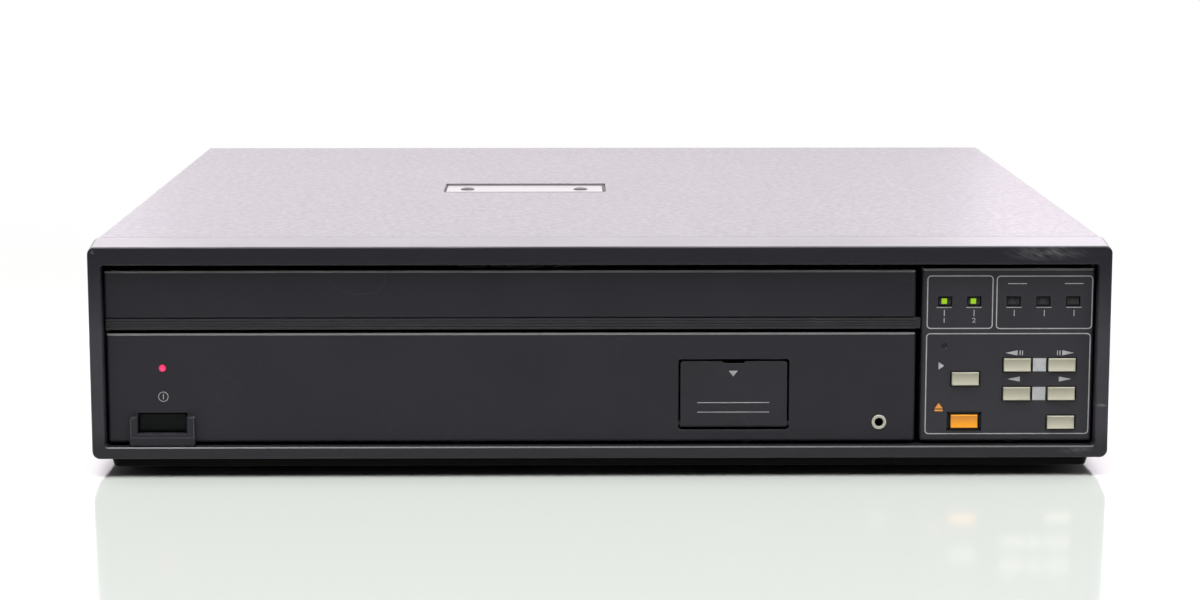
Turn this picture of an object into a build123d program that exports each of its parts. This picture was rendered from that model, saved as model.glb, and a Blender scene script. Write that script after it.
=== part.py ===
from build123d import *
from math import atan2, cos, degrees, hypot, pi, sin, tan, radians
import os

# Front-loading disc player for 300 mm discs, in millimetres. The front faces -Y, +X is to the right
# seen from the front, +Z is up. The origin lies on the floor under the middle of the whole player.

# Outer case
case_width = 422.0
case_top = 96.5
front_y = -201.0
rear_reach_y = 201.0
sheet = 1.2
cover_sheet = 1.0
cover_front_y = -170.7
cover_rear_y = 197.0
rear_panel_y = 189.0

# Moulded front
bezel_width = 420.0
bezel_rear_width = 425.2
bezel_bottom = 8.0
bezel_depth = 29.7
bezel_corner = 3.2
bezel_wall = 2.6
lip_depth = 8.0
opening_half = 204.7
opening_low = 13.0
opening_high = 88.8
panel_recess = 4.0
panel_y = front_y + panel_recess
panel_skin = 2.5
panel_return = 9.0
panel_wall = 1.8
panel_chamfer = 0.8
bezel_rear_y = front_y + bezel_depth
front_plate_y = bezel_rear_y - 1.4

# Lower panel, with the power button, the function door and the remote socket
lower_x = (-203.7, 130.2)
lower_z = (14.4, 60.0)
button_x = (-190.9, -171.4)
button_z = (18.8, 26.4)
button_gap = 0.45
guard_x = (-194.6, -167.7)
guard_top = 25.4
guard_height = 2.6
led_x = -180.9
led_z = 45.5
led_radius = 1.5
jack_x = 115.5
jack_z = 22.4
jack_bore = 1.8

# Function door and the well behind it
door_x = (33.1, 77.2)
door_z = (20.1, 48.1)
door_gap = 0.9
door_thick = 2.0
door_barrel = 1.6
door_pin = 1.0
notch_x = (50.1, 60.2)
notch_depth = 0.9
well_back_y = -181.6
well_wall = 1.6
hinge_y = panel_y + door_barrel
hinge_z = door_z[0] + door_barrel
slide_count = 3
slide_pitch = 9.0
slide_knob = 2.6
slide_travel = 3.0
slide_low_z = 31.6

# Control panel, keys and lamps
control_x = (132.7, 203.7)
control_z = (14.4, 86.6)
key_width = 11.7
key_height = 5.5
key_gap = 0.35
key_proud = 1.2
left_key_x = 151.0
middle_key_x = 172.4
right_key_x = 190.9
key_places = {
    "play_key": (left_key_x, 40.6),
    "reject_key": (left_key_x, 22.7),
    "step_reverse_key": (middle_key_x, 46.4),
    "step_forward_key": (right_key_x, 46.4),
    "scan_reverse_key": (middle_key_x, 34.3),
    "scan_forward_key": (right_key_x, 34.3),
    "display_key": (right_key_x, 22.2),
}
window_x = (142.1, 154.1, 170.4, 182.7, 195.0)
window_z = 73.0
window_width = 5.8
window_height = 4.1
lock_lamp_x = 142.0
lock_lamp_z = 54.3
key_board_y = -187.5

# Disc tray
disc_x = -37.0
disc_y = -22.0
disc_recess = 152.0
small_disc_recess = 102.0
tray_half = 162.7
tray_front_y = -188.0
tray_rear_y = 150.0
tray_low = 66.0
tray_top = 74.0
tray_floor = 69.5
tray_slot = 96.0
tray_travel = 300.0
runner_z = (68.0, 71.0)
runner_reach = 4.0
runner_rear_y = 176.0
runner_gap = 0.4
tray_door_x = (-204.2, 130.0)
tray_door_z = (61.6, 86.0)
trim_z = (61.6, 66.1)

# Loading drive
tray_module = 1.5
drive_teeth = 32
drive_pinion_teeth = 16
pulley_teeth = 12
rack_pitch_x = -189.8
drive_y = -143.0
drive_x = rack_pitch_x + tray_module * drive_pinion_teeth / 2
mesh_angle = 36.87
mesh_distance = tray_module * (drive_teeth + pulley_teeth) / 2
pulley_x = drive_x + mesh_distance * cos(radians(mesh_angle))
pulley_y = drive_y + mesh_distance * sin(radians(mesh_angle))
motor_x = -108.0
motor_y = -138.0
bracket_z = 38.0
shaft_radius = 2.0
shaft_fit = 0.05
pulley_groove = 15.0
motor_groove = 4.5
belt_section = 2.0
belt_gap = 0.15
gear_backlash = 0.36

# Lifting disc drive
lift_travel = 12.0
chassis_x = (-95.0, 37.0)
chassis_y = (-95.0, 155.0)
chassis_z = 38.0
post_radius = 3.0
post_fit = 0.08
post_places = [(-87.0, -85.0), (29.0, -85.0), (-87.0, 145.0), (29.0, 145.0)]
turntable_z = 60.5
turntable_radius = 34.0
rod_z = 46.0
rod_radius = 3.0
rod_half = 40.0
rod_y = (-14.0, 154.0)
carriage_y = 30.0
carriage_half = 24.0
carriage_travel = 88.0
lens_offset = 3.0
sled_module = 1.0
sled_teeth = 12
sled_rack_x = 14.2
rack_back = 5.4
sled_x = sled_rack_x + sled_module * sled_teeth / 2
sled_y = 60.0
cam_slope = 2.0
cam_pin_places = (-60.0, 60.0)
cam_pin_radius = 2.0
cam_pin_z = 32.0
cam_x = (-101.0, -99.0)
clamp_z = 75.4
bridge_z = 86.5

# Pressed base, cover details and rear sockets
base_low = 4.5
base_floor_top = base_low + sheet
board_z = 12.0
cover_low_z = 8.6
recess_x = (-73.0, 4.4)
recess_y = (-8.5, 26.5)
recess_depth = 1.6
access_screw_x = (-62.1, -7.7)
side_screw_y = (-110.0, 130.0)
side_screw_height = 1.6
rear_screw_x = (-190.0, 0.0, 190.0)
partition_x = (131.5, 132.7)
rail_y = (-164.0, 184.0)
inlet_x = 172.0
inlet_z = 34.0
socket_z = 52.0
video_x = (-60.0, -36.0)
audio_x = (-150.0, -134.0, -118.0, -102.0)
port_x = 40.0

os.makedirs("parts", exist_ok=True)


def span(x, y, z):
    """A block between a low and a high value on each axis."""
    middle = [(low + high) / 2 for low, high in (x, y, z)]
    size = [high - low for low, high in (x, y, z)]
    return Pos(*middle) * Box(*size)


def rectangle(across, up, corner=0.0):
    """A flat rectangle between two pairs of values, with round corners if asked."""
    width = across[1] - across[0]
    height = up[1] - up[0]
    shape = RectangleRounded(width, height, corner) if corner else Rectangle(width, height)
    return Pos((across[0] + across[1]) / 2, (up[0] + up[1]) / 2) * shape


def upright(outline, y):
    """An outline in x and z, made solid between two values of y."""
    return extrude(Plane.XZ.offset(-y[1]) * outline, y[1] - y[0])


def sideways(outline, x):
    """An outline in y and z, made solid between two values of x."""
    return extrude(Plane.YZ.offset(x[0]) * outline, x[1] - x[0])


def level(outline, z):
    """An outline in x and y, made solid between two heights."""
    return extrude(Plane.XY.offset(z[0]) * outline, z[1] - z[0])


def turned(x, y, profile):
    """A solid turned about a vertical axis, from points of radius and height."""
    face = make_face(Polyline(*profile, close=True))
    return Pos(x, y, 0) * revolve(Plane.XZ * face, Axis.Z)


def drum(x, y, radius, z):
    return level(Pos(x, y) * Circle(radius), z)


def bar_y(x, z, radius, y):
    return upright(Pos(x, z) * Circle(radius), y)


def bar_x(y, z, radius, x):
    return sideways(Pos(y, z) * Circle(radius), x)


def gear_outline(teeth, module, phase):
    """Straight-flanked teeth, thinned for backlash, the first one at the given angle."""
    pitch_radius = module * teeth / 2
    tip = pitch_radius + 0.85 * module
    root = pitch_radius - 1.15 * module
    half = pi / (2 * teeth) - gear_backlash / (2 * pitch_radius)
    lean = tan(radians(20)) / pitch_radius
    points = []
    for tooth in range(teeth):
        centre = radians(phase) + 2 * pi * tooth / teeth
        for radius, side in ((root, -1), (tip, -1), (tip, 1), (root, 1)):
            angle = centre + side * (half - lean * (radius - pitch_radius))
            points.append((radius * cos(angle), radius * sin(angle)))
    return make_face(Polyline(*points, close=True))


def rack_outline(pitch_x, module, y, middle_y, back_x):
    """A rack along y whose teeth point to +X, with a tooth space at middle_y."""
    pitch = pi * module
    half = pitch / 4 - gear_backlash / 2
    slope = tan(radians(20))
    tip = 0.85 * module
    root = -1.15 * module
    first = int((y[0] + pitch / 2 - middle_y) / pitch)
    points = [(back_x, y[0]), (pitch_x + root, y[0])]
    for tooth in range(first, first + int((y[1] - y[0]) / pitch) - 1):
        centre = middle_y + (tooth + 0.5) * pitch
        points.append((pitch_x + root, centre - half + slope * root))
        points.append((pitch_x + tip, centre - half + slope * tip))
        points.append((pitch_x + tip, centre + half - slope * tip))
        points.append((pitch_x + root, centre + half - slope * root))
    points += [(pitch_x + root, y[1]), (back_x, y[1])]
    return make_face(Polyline(*points, close=True))


def moulded_panel(across, up):
    """A panel with a bevelled front, open at the back inside its return walls."""
    body = upright(rectangle(across, up, 0.8), (panel_y, panel_y + panel_return))
    front_edges = body.faces().sort_by(Axis.Y)[0].edges()
    body = chamfer(front_edges, panel_chamfer)
    inside_x = (across[0] + panel_wall, across[1] - panel_wall)
    inside_z = (up[0] + panel_wall, up[1] - panel_wall)
    return body - span(inside_x, (panel_y + panel_skin, panel_y + panel_return), inside_z)


def screw(place, radius, height, facing):
    """A pan-head screw with a cross recess, its head pointing along facing."""
    profile = Polyline(
        (0, 0),
        (radius, 0),
        (radius, 0.45 * height),
        (0.6 * radius, height),
        (0, height),
        close=True,
    )
    head = revolve(Plane.XZ * make_face(profile), Axis.Z)
    slot = Pos(0, 0, height) * Box(1.3 * radius, 0.28 * radius, 0.9 * height)
    head = head - slot - Rot(0, 0, 90) * slot
    return Plane(origin=place, z_dir=facing) * head


def front_bezel():
    front = Plane.XZ.offset(-front_y) * rectangle(
        (-bezel_width / 2, bezel_width / 2),
        (bezel_bottom, case_top),
        bezel_corner,
    )
    rear = Plane.XZ.offset(-bezel_rear_y) * rectangle(
        (-bezel_rear_width / 2, bezel_rear_width / 2),
        (bezel_bottom, case_top),
        bezel_corner,
    )
    body = loft([front.face(), rear.face()])
    body = fillet(body.faces().sort_by(Axis.Y)[0].edges(), 0.9)
    hollow_x = (-case_width / 2 + bezel_wall + 0.6, case_width / 2 - bezel_wall - 0.6)
    hollow_z = (bezel_bottom + bezel_wall, case_top - bezel_wall)
    body -= upright(rectangle(hollow_x, hollow_z, 1.5), (front_y + lip_depth, bezel_rear_y))
    window = rectangle((-opening_half, opening_half), (opening_low, opening_high), 1.2)
    body -= upright(window, (front_y, front_y + lip_depth))
    lip = [e for e in body.faces().sort_by(Axis.Y)[0].inner_wires()[0].edges()]
    body = chamfer(lip, 0.5)
    for x in (-170.0, -60.0, 60.0, 170.0):
        for z in (hollow_z[0] + 1.2, hollow_z[1] - 1.2):
            boss = bar_y(x, z, 2.4, (front_y + lip_depth - 0.5, front_plate_y))
            wall_z = (z - 3.0, hollow_z[0]) if z < 50 else (hollow_z[1], z + 3.0)
            body += boss - span(
                (x - 4, x + 4),
                (front_y, bezel_rear_y),
                (wall_z[0] - 2, wall_z[1] + 2),
            )
    return body


def function_well():
    """The moulded pocket behind the function door, with a window for the slide switches."""
    inner_x = (door_x[0] - door_gap, door_x[1] + door_gap)
    inner_z = (door_z[0] - door_gap, door_z[1] + door_gap)
    outer_x = (inner_x[0] - well_wall, inner_x[1] + well_wall)
    outer_z = (inner_z[0] - well_wall, inner_z[1] + well_wall)
    well = span(outer_x, (panel_y + panel_skin, well_back_y + well_wall), outer_z)
    well -= span(inner_x, (panel_y, well_back_y), inner_z)
    middle = sum(door_x) / 2
    reach = slide_pitch * slide_count / 2 + 1
    well -= span(
        (middle - reach, middle + reach),
        (well_back_y, well_back_y + well_wall),
        (29.0, 39.0),
    )
    for x in (inner_x[0] + 8.0, inner_x[1] - 8.0):
        stop = span(
            (x - 4, x + 4),
            (panel_y + door_thick + 0.3, panel_y + door_thick + 2.3),
            (inner_z[1] - 2.2, inner_z[1]),
        )
        well += stop
    return well, inner_x, inner_z


def lower_panel():
    panel = moulded_panel(lower_x, lower_z)
    well, inner_x, inner_z = function_well()
    panel -= upright(rectangle(inner_x, inner_z, 1.2), (panel_y, panel_y + panel_skin))
    panel += well
    panel -= bar_x(hinge_y, hinge_z, door_pin + shaft_fit, (inner_x[0] - 1.2, inner_x[1] + 1.2))
    guard = rectangle(guard_x, (opening_low + 0.3, guard_top), 1.0)
    panel += upright(guard, (panel_y - guard_height, panel_y))
    panel += span(
        (guard_x[0] + 2, guard_x[1] - 2),
        (panel_y, panel_y + panel_skin),
        (opening_low + 0.3, lower_z[0] + 1),
    )
    hole_x = (button_x[0] - button_gap, button_x[1] + button_gap)
    hole_z = (button_z[0] - button_gap, button_z[1] + button_gap)
    panel -= span(hole_x, (front_y, panel_y + panel_skin), (hole_z[0], hole_z[1]))
    panel -= span(hole_x, (front_y, panel_y), (hole_z[0], guard_top + 1))
    panel -= bar_y(led_x, led_z, led_radius + 0.05, (panel_y, panel_y + panel_skin))
    panel -= bar_y(jack_x, jack_z, 2.95, (panel_y, panel_y + panel_skin))
    for x in (-140.0, -90.0, -40.0, 10.0, 100.0):
        panel += span(
            (x - 0.7, x + 0.7),
            (panel_y + panel_skin, panel_y + 7.0),
            (lower_z[0] + panel_wall, lower_z[1] - panel_wall),
        )
    for x in (-150.0, 90.0):
        post = bar_y(x, 50.0, 3.5, (panel_y + panel_skin, front_plate_y))
        panel += post
    return panel


def function_door():
    plate = span(door_x, (panel_y, panel_y + door_thick), (hinge_z, door_z[1]))
    top_corners = plate.edges().filter_by(Axis.Y).group_by(Axis.Z)[-1]
    plate = fillet(top_corners, 1.2)
    plate += bar_x(hinge_y, hinge_z, door_barrel, door_x)
    notch = Polyline(
        (notch_x[0], door_z[1]),
        (notch_x[0] + notch_depth, door_z[1] - notch_depth),
        (notch_x[1] - notch_depth, door_z[1] - notch_depth),
        (notch_x[1], door_z[1]),
        close=True,
    )
    plate -= upright(make_face(notch), (panel_y, panel_y + door_thick))
    for x in ((door_x[0] - door_gap - 1.0, door_x[0]), (door_x[1], door_x[1] + door_gap + 1.0)):
        plate += bar_x(hinge_y, hinge_z, door_pin, x)
    return plate


def power_button():
    cap = upright(rectangle(button_x, button_z, 0.6), (panel_y + 0.5, panel_y + 9.0))
    hollow_radius = 26.0
    cap -= bar_x(
        panel_y + 1.1 - hollow_radius,
        sum(button_z) / 2,
        hollow_radius,
        (button_x[0] + 0.8, button_x[1] - 0.8),
    )
    flange = rectangle(
        (button_x[0] - 1.2, button_x[1] + 1.2),
        (button_z[0] - 1.0, button_z[1] + 1.0),
    )
    cap += upright(flange, (panel_y + panel_skin + 0.4, panel_y + panel_skin + 1.6))
    return cap + bar_y(sum(button_x) / 2, sum(button_z) / 2, 2.4, (panel_y + 9.0, panel_y + 21.0))


def power_switch():
    middle_x = sum(button_x) / 2
    middle_z = sum(button_z) / 2
    body = span(
        (middle_x - 9.5, middle_x + 9.5),
        (panel_y + 18.0, panel_y + 44.0),
        (middle_z - 7.5, middle_z + 7.5),
    )
    body = chamfer(body.edges().filter_by(Axis.Y), 1.0)
    body -= bar_y(middle_x, middle_z, 2.9, (panel_y + 18.0, panel_y + 30.0))
    for x in (-5.0, 5.0):
        for z in (-4.0, 4.0):
            body += span(
                (middle_x + x - 2.4, middle_x + x + 2.4),
                (panel_y + 44.0, panel_y + 50.0),
                (middle_z + z - 0.4, middle_z + z + 0.4),
            )
    foot_z = (base_floor_top, middle_z - 7.5)
    body += span((middle_x - 9.5, middle_x + 9.5), (panel_y + 34.0, panel_y + 36.0), foot_z)
    return body


def function_switch_block():
    middle = sum(door_x) / 2
    half = slide_pitch * slide_count / 2 - 0.5
    front = well_back_y + well_wall + 0.1
    block = span((middle - half, middle + half), (front, front + 9.0), (27.5, 40.5))
    for slot in range(slide_count):
        x = middle + (slot - (slide_count - 1) / 2) * slide_pitch
        opening_x = (x - slide_knob / 2 - 0.4, x + slide_knob / 2 + 0.4)
        opening_z = (
            slide_low_z - slide_knob / 2 - 0.5,
            slide_low_z + slide_travel + slide_knob / 2 + 0.5,
        )
        block -= span(opening_x, (front, front + 4.0), opening_z)
    board = span((middle - half - 4, middle + half + 4), (front + 9.0, front + 10.6), (21.0, 46.0))
    return block + board


def function_slide(number):
    middle = sum(door_x) / 2
    x = middle + (number - (slide_count + 1) / 2) * slide_pitch
    front = well_back_y + well_wall + 0.1
    half = slide_knob / 2
    knob = span(
        (x - half, x + half),
        (front - 4.6, front + 3.6),
        (slide_low_z - half, slide_low_z + half),
    )
    return chamfer(knob.faces().sort_by(Axis.Y)[0].edges(), 0.4)


def control_panel():
    panel = moulded_panel(control_x, control_z)
    for name, (x, z) in key_places.items():
        gap = 0.95 if name == "reject_key" else key_gap
        hole = rectangle(
            (x - key_width / 2 - gap, x + key_width / 2 + gap),
            (z - key_height / 2 - gap, z + key_height / 2 + gap),
            0.4,
        )
        panel -= upright(hole, (panel_y, panel_y + panel_skin))
    for x in window_x:
        hole = rectangle(
            (x - window_width / 2, x + window_width / 2),
            (window_z - window_height / 2, window_z + window_height / 2),
        )
        panel -= upright(hole, (panel_y, panel_y + panel_skin))
    panel -= bar_y(lock_lamp_x, lock_lamp_z, 1.25, (panel_y, panel_y + panel_skin))
    for x, z in ((control_x[0] + 6.0, 62.0), (control_x[1] - 6.0, 62.0)):
        panel += bar_y(x, z, 2.8, (panel_y + panel_skin, key_board_y))
    return panel


def key(x, z):
    cap_z = (z - key_height / 2, z + key_height / 2)
    cap_x = (x - key_width / 2, x + key_width / 2)
    cap = upright(rectangle(cap_x, cap_z, 0.35), (panel_y - key_proud, panel_y + panel_skin + 1.0))
    cap = chamfer(cap.faces().sort_by(Axis.Y)[0].edges(), 0.35)
    flange = rectangle((cap_x[0] - 1.6, cap_x[1] + 1.6), (cap_z[0] - 1.2, cap_z[1] + 1.2))
    cap += upright(flange, (panel_y + panel_skin + 0.4, panel_y + panel_skin + 1.4))
    return cap + bar_y(x, z, 1.6, (panel_y + panel_skin + 1.4, key_board_y - 3.3))


def key_board():
    board = span(
        (control_x[0] + 2.4, control_x[1] - 2.4),
        (key_board_y, key_board_y + 1.6),
        (control_z[0] + 2.4, control_z[1] - 2.4),
    )
    for x, z in key_places.values():
        board += span((x - 3, x + 3), (key_board_y - 1.6, key_board_y), (z - 2.9, z + 2.9))
    board += span((150.0, 186.0), (key_board_y + 1.6, key_board_y + 7.5), (56.0, 62.0))
    return board


def indicator_lamps():
    lamps = []
    for x in window_x:
        lens_x = (x - window_width / 2 + 0.3, x + window_width / 2 - 0.3)
        lens_z = (window_z - window_height / 2 + 0.3, window_z + window_height / 2 - 0.3)
        lamps.append(span(lens_x, (panel_y + 1.1, key_board_y), lens_z))
    lamps.append(bar_y(lock_lamp_x, lock_lamp_z, 1.2, (panel_y + 0.4, key_board_y)))
    return Compound(children=lamps)


def power_lamp():
    lamp = bar_y(led_x, led_z, led_radius, (panel_y - 0.3, panel_y + 6.0))
    lamp = fillet(lamp.faces().sort_by(Axis.Y)[0].edges(), 0.9)
    return lamp + span(
        (led_x - 4, led_x + 4),
        (panel_y + 6.0, panel_y + 7.6),
        (led_z - 5, led_z + 5),
    )


def jack_ring():
    ring = bar_y(
        jack_x,
        jack_z,
        3.05,
        (panel_y - 0.5, panel_y - 0.0),
    ) + bar_y(jack_x, jack_z, 2.9, (panel_y, panel_y + panel_skin))
    return ring - bar_y(jack_x, jack_z, jack_bore, (panel_y - 1.0, panel_y + panel_skin))


def jack_body():
    body = span(
        (jack_x - 4.5, jack_x + 4.5),
        (panel_y + panel_skin + 0.05, panel_y + 15.0),
        (jack_z - 5.0, jack_z + 5.0),
    )
    body = chamfer(body.edges().filter_by(Axis.Y), 1.0)
    return body - bar_y(jack_x, jack_z, jack_bore, (panel_y + panel_skin, panel_y + 14.0))


def top_cover():
    outer = span(
        (-case_width / 2, case_width / 2),
        (cover_front_y, cover_rear_y),
        (cover_low_z, case_top),
    )
    outer = fillet(outer.faces().sort_by(Axis.Z)[-1].edges().filter_by(Axis.Y), 2.0)
    inner_half = case_width / 2 - cover_sheet
    inner = span(
        (-inner_half, inner_half),
        (cover_front_y, cover_rear_y),
        (cover_low_z, case_top - cover_sheet),
    )
    inner = fillet(inner.faces().sort_by(Axis.Z)[-1].edges().filter_by(Axis.Y), 1.0)
    cover = outer - inner
    floor_z = case_top - recess_depth
    rim = rectangle((recess_x[0] - 1, recess_x[1] + 1), (recess_y[0] - 1, recess_y[1] + 1), 3.0)
    cover += level(rim, (floor_z - cover_sheet, case_top - cover_sheet))
    cover -= level(rectangle(recess_x, recess_y, 2.0), (floor_z, case_top))
    cover -= level(rectangle((-52.0, -18.0), (0.0, 18.0), 2.0), (floor_z - cover_sheet, floor_z))
    return cover


def access_plate():
    plate_x = (recess_x[0] + 0.8, recess_x[1] - 1.4)
    plate_y = (recess_y[0] + 0.8, recess_y[1] - 1.4)
    floor_z = case_top - recess_depth
    plate = level(rectangle(plate_x, plate_y, 1.6), (floor_z, floor_z + 0.8))
    return chamfer(plate.faces().sort_by(Axis.Z)[-1].edges(), 0.25)


def case_screws():
    plate_top = case_top - recess_depth + 0.8
    screws = [screw((x, 9.0, plate_top), 3.3, 0.75, (0, 0, 1)) for x in access_screw_x]
    for side in (-1, 1):
        for y in side_screw_y:
            screws.append(
                screw((side * case_width / 2, y, 46.0), 4.0, side_screw_height, (side, 0, 0))
            )
    for x in rear_screw_x:
        screws.append(screw((x, rear_panel_y + sheet, 88.0), 3.5, 1.6, (0, 1, 0)))
    return Compound(children=screws)


def base_pan():
    top_z = bezel_bottom - 0.1
    rim_y = (front_y + 3.0, rear_panel_y + 4.0)
    outer = [
        Plane.XY.offset(z) * rectangle((-half, half), rim_y, 4.0)
        for z, half in ((base_low, 202.1), (top_z, 203.1))
    ]
    inner = [
        Plane.XY.offset(z) * rectangle((-half, half), (rim_y[0] + sheet, rim_y[1] - sheet), 3.0)
        for z, half in ((base_floor_top, 200.9), (top_z, 201.9))
    ]
    pan = loft([s.face() for s in outer]) - loft([s.face() for s in inner])
    for side in (-1, 1):
        flange_x = sorted((side * 201.5, side * 209.4))
        pan += span(flange_x, (bezel_rear_y + 0.6, rear_panel_y - 0.5), (top_z - sheet, top_z))
    for x, count, first in (
        (150.0, 10, -70.0),
        (186.0, 10, -70.0),
        (-185.0, 12, -20.0),
        (-130.0, 12, -20.0),
        (85.0, 12, -20.0),
    ):
        for slot in range(count):
            y = first + slot * 12.0
            pan -= level(Pos(x, y) * SlotOverall(26.0, 3.2), (base_low, base_floor_top))
    for y in (-80.0, 30.0):
        for x in ((cam_x[0] - 1.5, cam_x[0] - 0.3), (cam_x[1] + 0.3, cam_x[1] + 1.5)):
            pan += span(x, (y - 6, y + 6), (base_floor_top, 20.0))
    return pan


def feet():
    profile = [(3.0, 0), (14.0, 0), (15.0, base_low), (0, base_low), (0, 2.0), (3.0, 2.0)]
    return Compound(
        children=[turned(x, y, profile) for x in (-160.0, 160.0) for y in (-158.0, 150.0)]
    )


def rear_panel():
    panel = span((-208.0, 208.0), (rear_panel_y, rear_panel_y + sheet), (bezel_bottom, 95.0))
    y = (rear_panel_y, rear_panel_y + sheet)
    panel -= upright(
        rectangle((inlet_x - 14.2, inlet_x + 14.2), (inlet_z - 10.2, inlet_z + 10.2), 1.0),
        y,
    )
    for x in video_x:
        panel -= bar_y(x, socket_z, 4.9, y)
    panel -= upright(
        rectangle((audio_x[0] - 7.0, audio_x[-1] + 7.0), (socket_z - 6.0, socket_z + 6.0)),
        y,
    )
    panel -= upright(
        rectangle((port_x - 21.0, port_x + 21.0), (socket_z - 6.0, socket_z + 6.0), 2.0),
        y,
    )
    for row in range(2):
        for slot in range(14):
            hole = Pos(
                140.0 + slot * 4.6,
                62.0 + row * 20.0,
            ) * Rot(0, 0, 90) * SlotOverall(16.0, 2.2)
            panel -= upright(hole, y)
    return panel


def side_frames():
    frames = []
    for side in (-1, 1):
        web = span(
            sorted((side * 208.2, side * 209.4)),
            (bezel_rear_y + 0.4, rear_panel_y - 0.4),
            (bezel_bottom - 0.1, 90.0),
        )
        for y in (-100.0, 10.0, 110.0):
            web -= span(sorted((side * 208.0, side * 209.6)), (y - 18, y + 18), (24.0, 50.0))
        web += span(
            sorted((side * 198.0, side * 208.2)),
            (bezel_rear_y, bezel_rear_y + sheet),
            (bezel_bottom, 58.0),
        )
        frames.append(web)
    wall = span(partition_x, (bezel_rear_y, rear_panel_y - 0.4), (base_floor_top, 88.0))
    for y in (-110.0, 20.0, 130.0):
        wall -= span(partition_x, (y - 18, y + 18), (22.0, 58.0))
    wall += span(
        (partition_x[1], partition_x[1] + 3.0),
        (bezel_rear_y + 3, rear_panel_y - 3),
        (base_floor_top, base_floor_top + sheet),
    )
    frames.append(wall)
    return Compound(children=frames)


def front_plate():
    y = (front_plate_y, bezel_rear_y)
    plate = span((-206.5, 206.5), y, (11.4, 93.0))
    plate -= span((-204.8, 130.6), y, (60.0, 87.5))
    plate -= span((door_x[0] - 4.0, door_x[1] + 4.0), y, (15.0, 53.0))
    plate -= span((button_x[0] - 2.0, button_x[1] + 2.0), y, (12.5, 33.0))
    plate -= span((142.0, 196.0), y, (30.0, 80.0))
    return plate


def tray_rails():
    groove_z = (runner_z[0] - runner_gap, runner_z[1] + runner_gap)
    left_edge = disc_x - tray_half
    right_edge = disc_x + tray_half
    left = span((-208.2, left_edge - 1.5), rail_y, (64.0, 75.0))
    left -= span((left_edge - runner_reach - runner_gap, left_edge), rail_y, groove_z)
    right = span((right_edge + 1.3, partition_x[0]), rail_y, (64.0, 75.0))
    right -= span((right_edge, right_edge + runner_reach + runner_gap), rail_y, groove_z)
    return Compound(children=[left, right])


def clamp_bridge():
    left_x = -208.2
    right_x = partition_x[0]
    y = (disc_y - 30.0, disc_y + 30.0)
    bridge = span((left_x, right_x), y, (bridge_z, bridge_z + 1.5))
    for edge in (y[0], y[1] - 1.5):
        bridge += span((left_x + 10, right_x - 8), (edge, edge + 1.5), (bridge_z + 1.5, 92.5))
    bridge += span((left_x, left_x + sheet), y, (76.0, bridge_z))
    bridge += span((right_x - sheet, right_x), y, (76.0, bridge_z))
    ring = Pos(disc_x, disc_y) * (Circle(20.0) - Circle(17.0))
    bridge += level(ring, (bridge_z + 1.5, bridge_z + 3.0))
    for x in (-160.0, -110.0, 40.0, 90.0):
        bridge -= level(Pos(x, disc_y) * SlotOverall(36.0, 16.0), (bridge_z, bridge_z + 1.5))
    return bridge - drum(disc_x, disc_y, 10.0, (bridge_z, bridge_z + 1.5))


def clamper():
    """The disc's upper clamp: a ring that presses on the label, a neck and a cap above the bridge."""
    low = clamp_z
    top = bridge_z + 1.5 + 0.3
    hollow = [(0, low + 2.6), (18.6, low + 2.6)]
    ring = [(19.0, low), (29.0, low), (30.0, low + 1.0), (30.0, low + 3.4)]
    neck = [(12.0, low + 5.0), (9.9, low + 6.0), (9.9, top)]
    cap = [(14.0, top), (14.0, top + 1.4), (5.0, top + 2.0), (0, top + 2.0)]
    return turned(disc_x, disc_y, hollow + ring + neck + cap)


def power_transformer():
    core = span((143.0, 199.0), (120.0, 150.0), (12.0, 64.0))
    for z in ((18.0, 28.0), (48.0, 58.0)):
        core -= span((154.0, 188.0), (120.0, 150.0), z)
    for x in ((143.0, 146.0), (196.0, 199.0)):
        core += span(x, (124.0, 146.0), (base_floor_top, 12.0))
    coil = span((154.5, 187.5), (110.0, 160.0), (18.5, 57.5))
    coil = fillet(coil.edges().filter_by(Axis.Z), 5.0)
    coil -= span((154.0, 188.0), (120.0, 150.0), (28.0, 48.0))
    return Compound(children=[core, coil])


def power_board():
    board = span((138.0, 204.0), (-130.0, 92.0), (board_z, board_z + 1.6))
    for x in (142.0, 196.0):
        for y in (-125.0, 87.0):
            board += drum(x, y, 2.5, (base_floor_top, board_z))
    for x, y, radius, height in (
        (186.0, 70.0, 11.0, 36.0),
        (186.0, 42.0, 11.0, 36.0),
        (190.0, 16.0, 8.0, 26.0),
        (192.0, -6.0, 6.0, 20.0),
        (192.0, -24.0, 6.0, 20.0),
    ):
        board += drum(x, y, radius, (board_z + 1.6, board_z + 1.6 + height))
    for x, y in (
        (150.0, -100.0),
        (172.0, -100.0),
        (150.0, -112.0),
        (172.0, -112.0),
        (190.0, -70.0),
    ):
        board += span((x - 8, x + 8), (y - 3, y + 3), (board_z + 1.6, board_z + 8.0))
    return board


def heat_sink():
    base = rectangle((144.0, 147.0), (-60.0, 60.0))
    fins = [
        rectangle((147.0, 168.0), (-60.0 + step * 13.1, -58.2 + step * 13.1))
        for step in range(10)
    ]
    outline = base
    for fin in fins:
        outline += fin
    return level(outline, (board_z + 1.6, 62.0))


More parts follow.
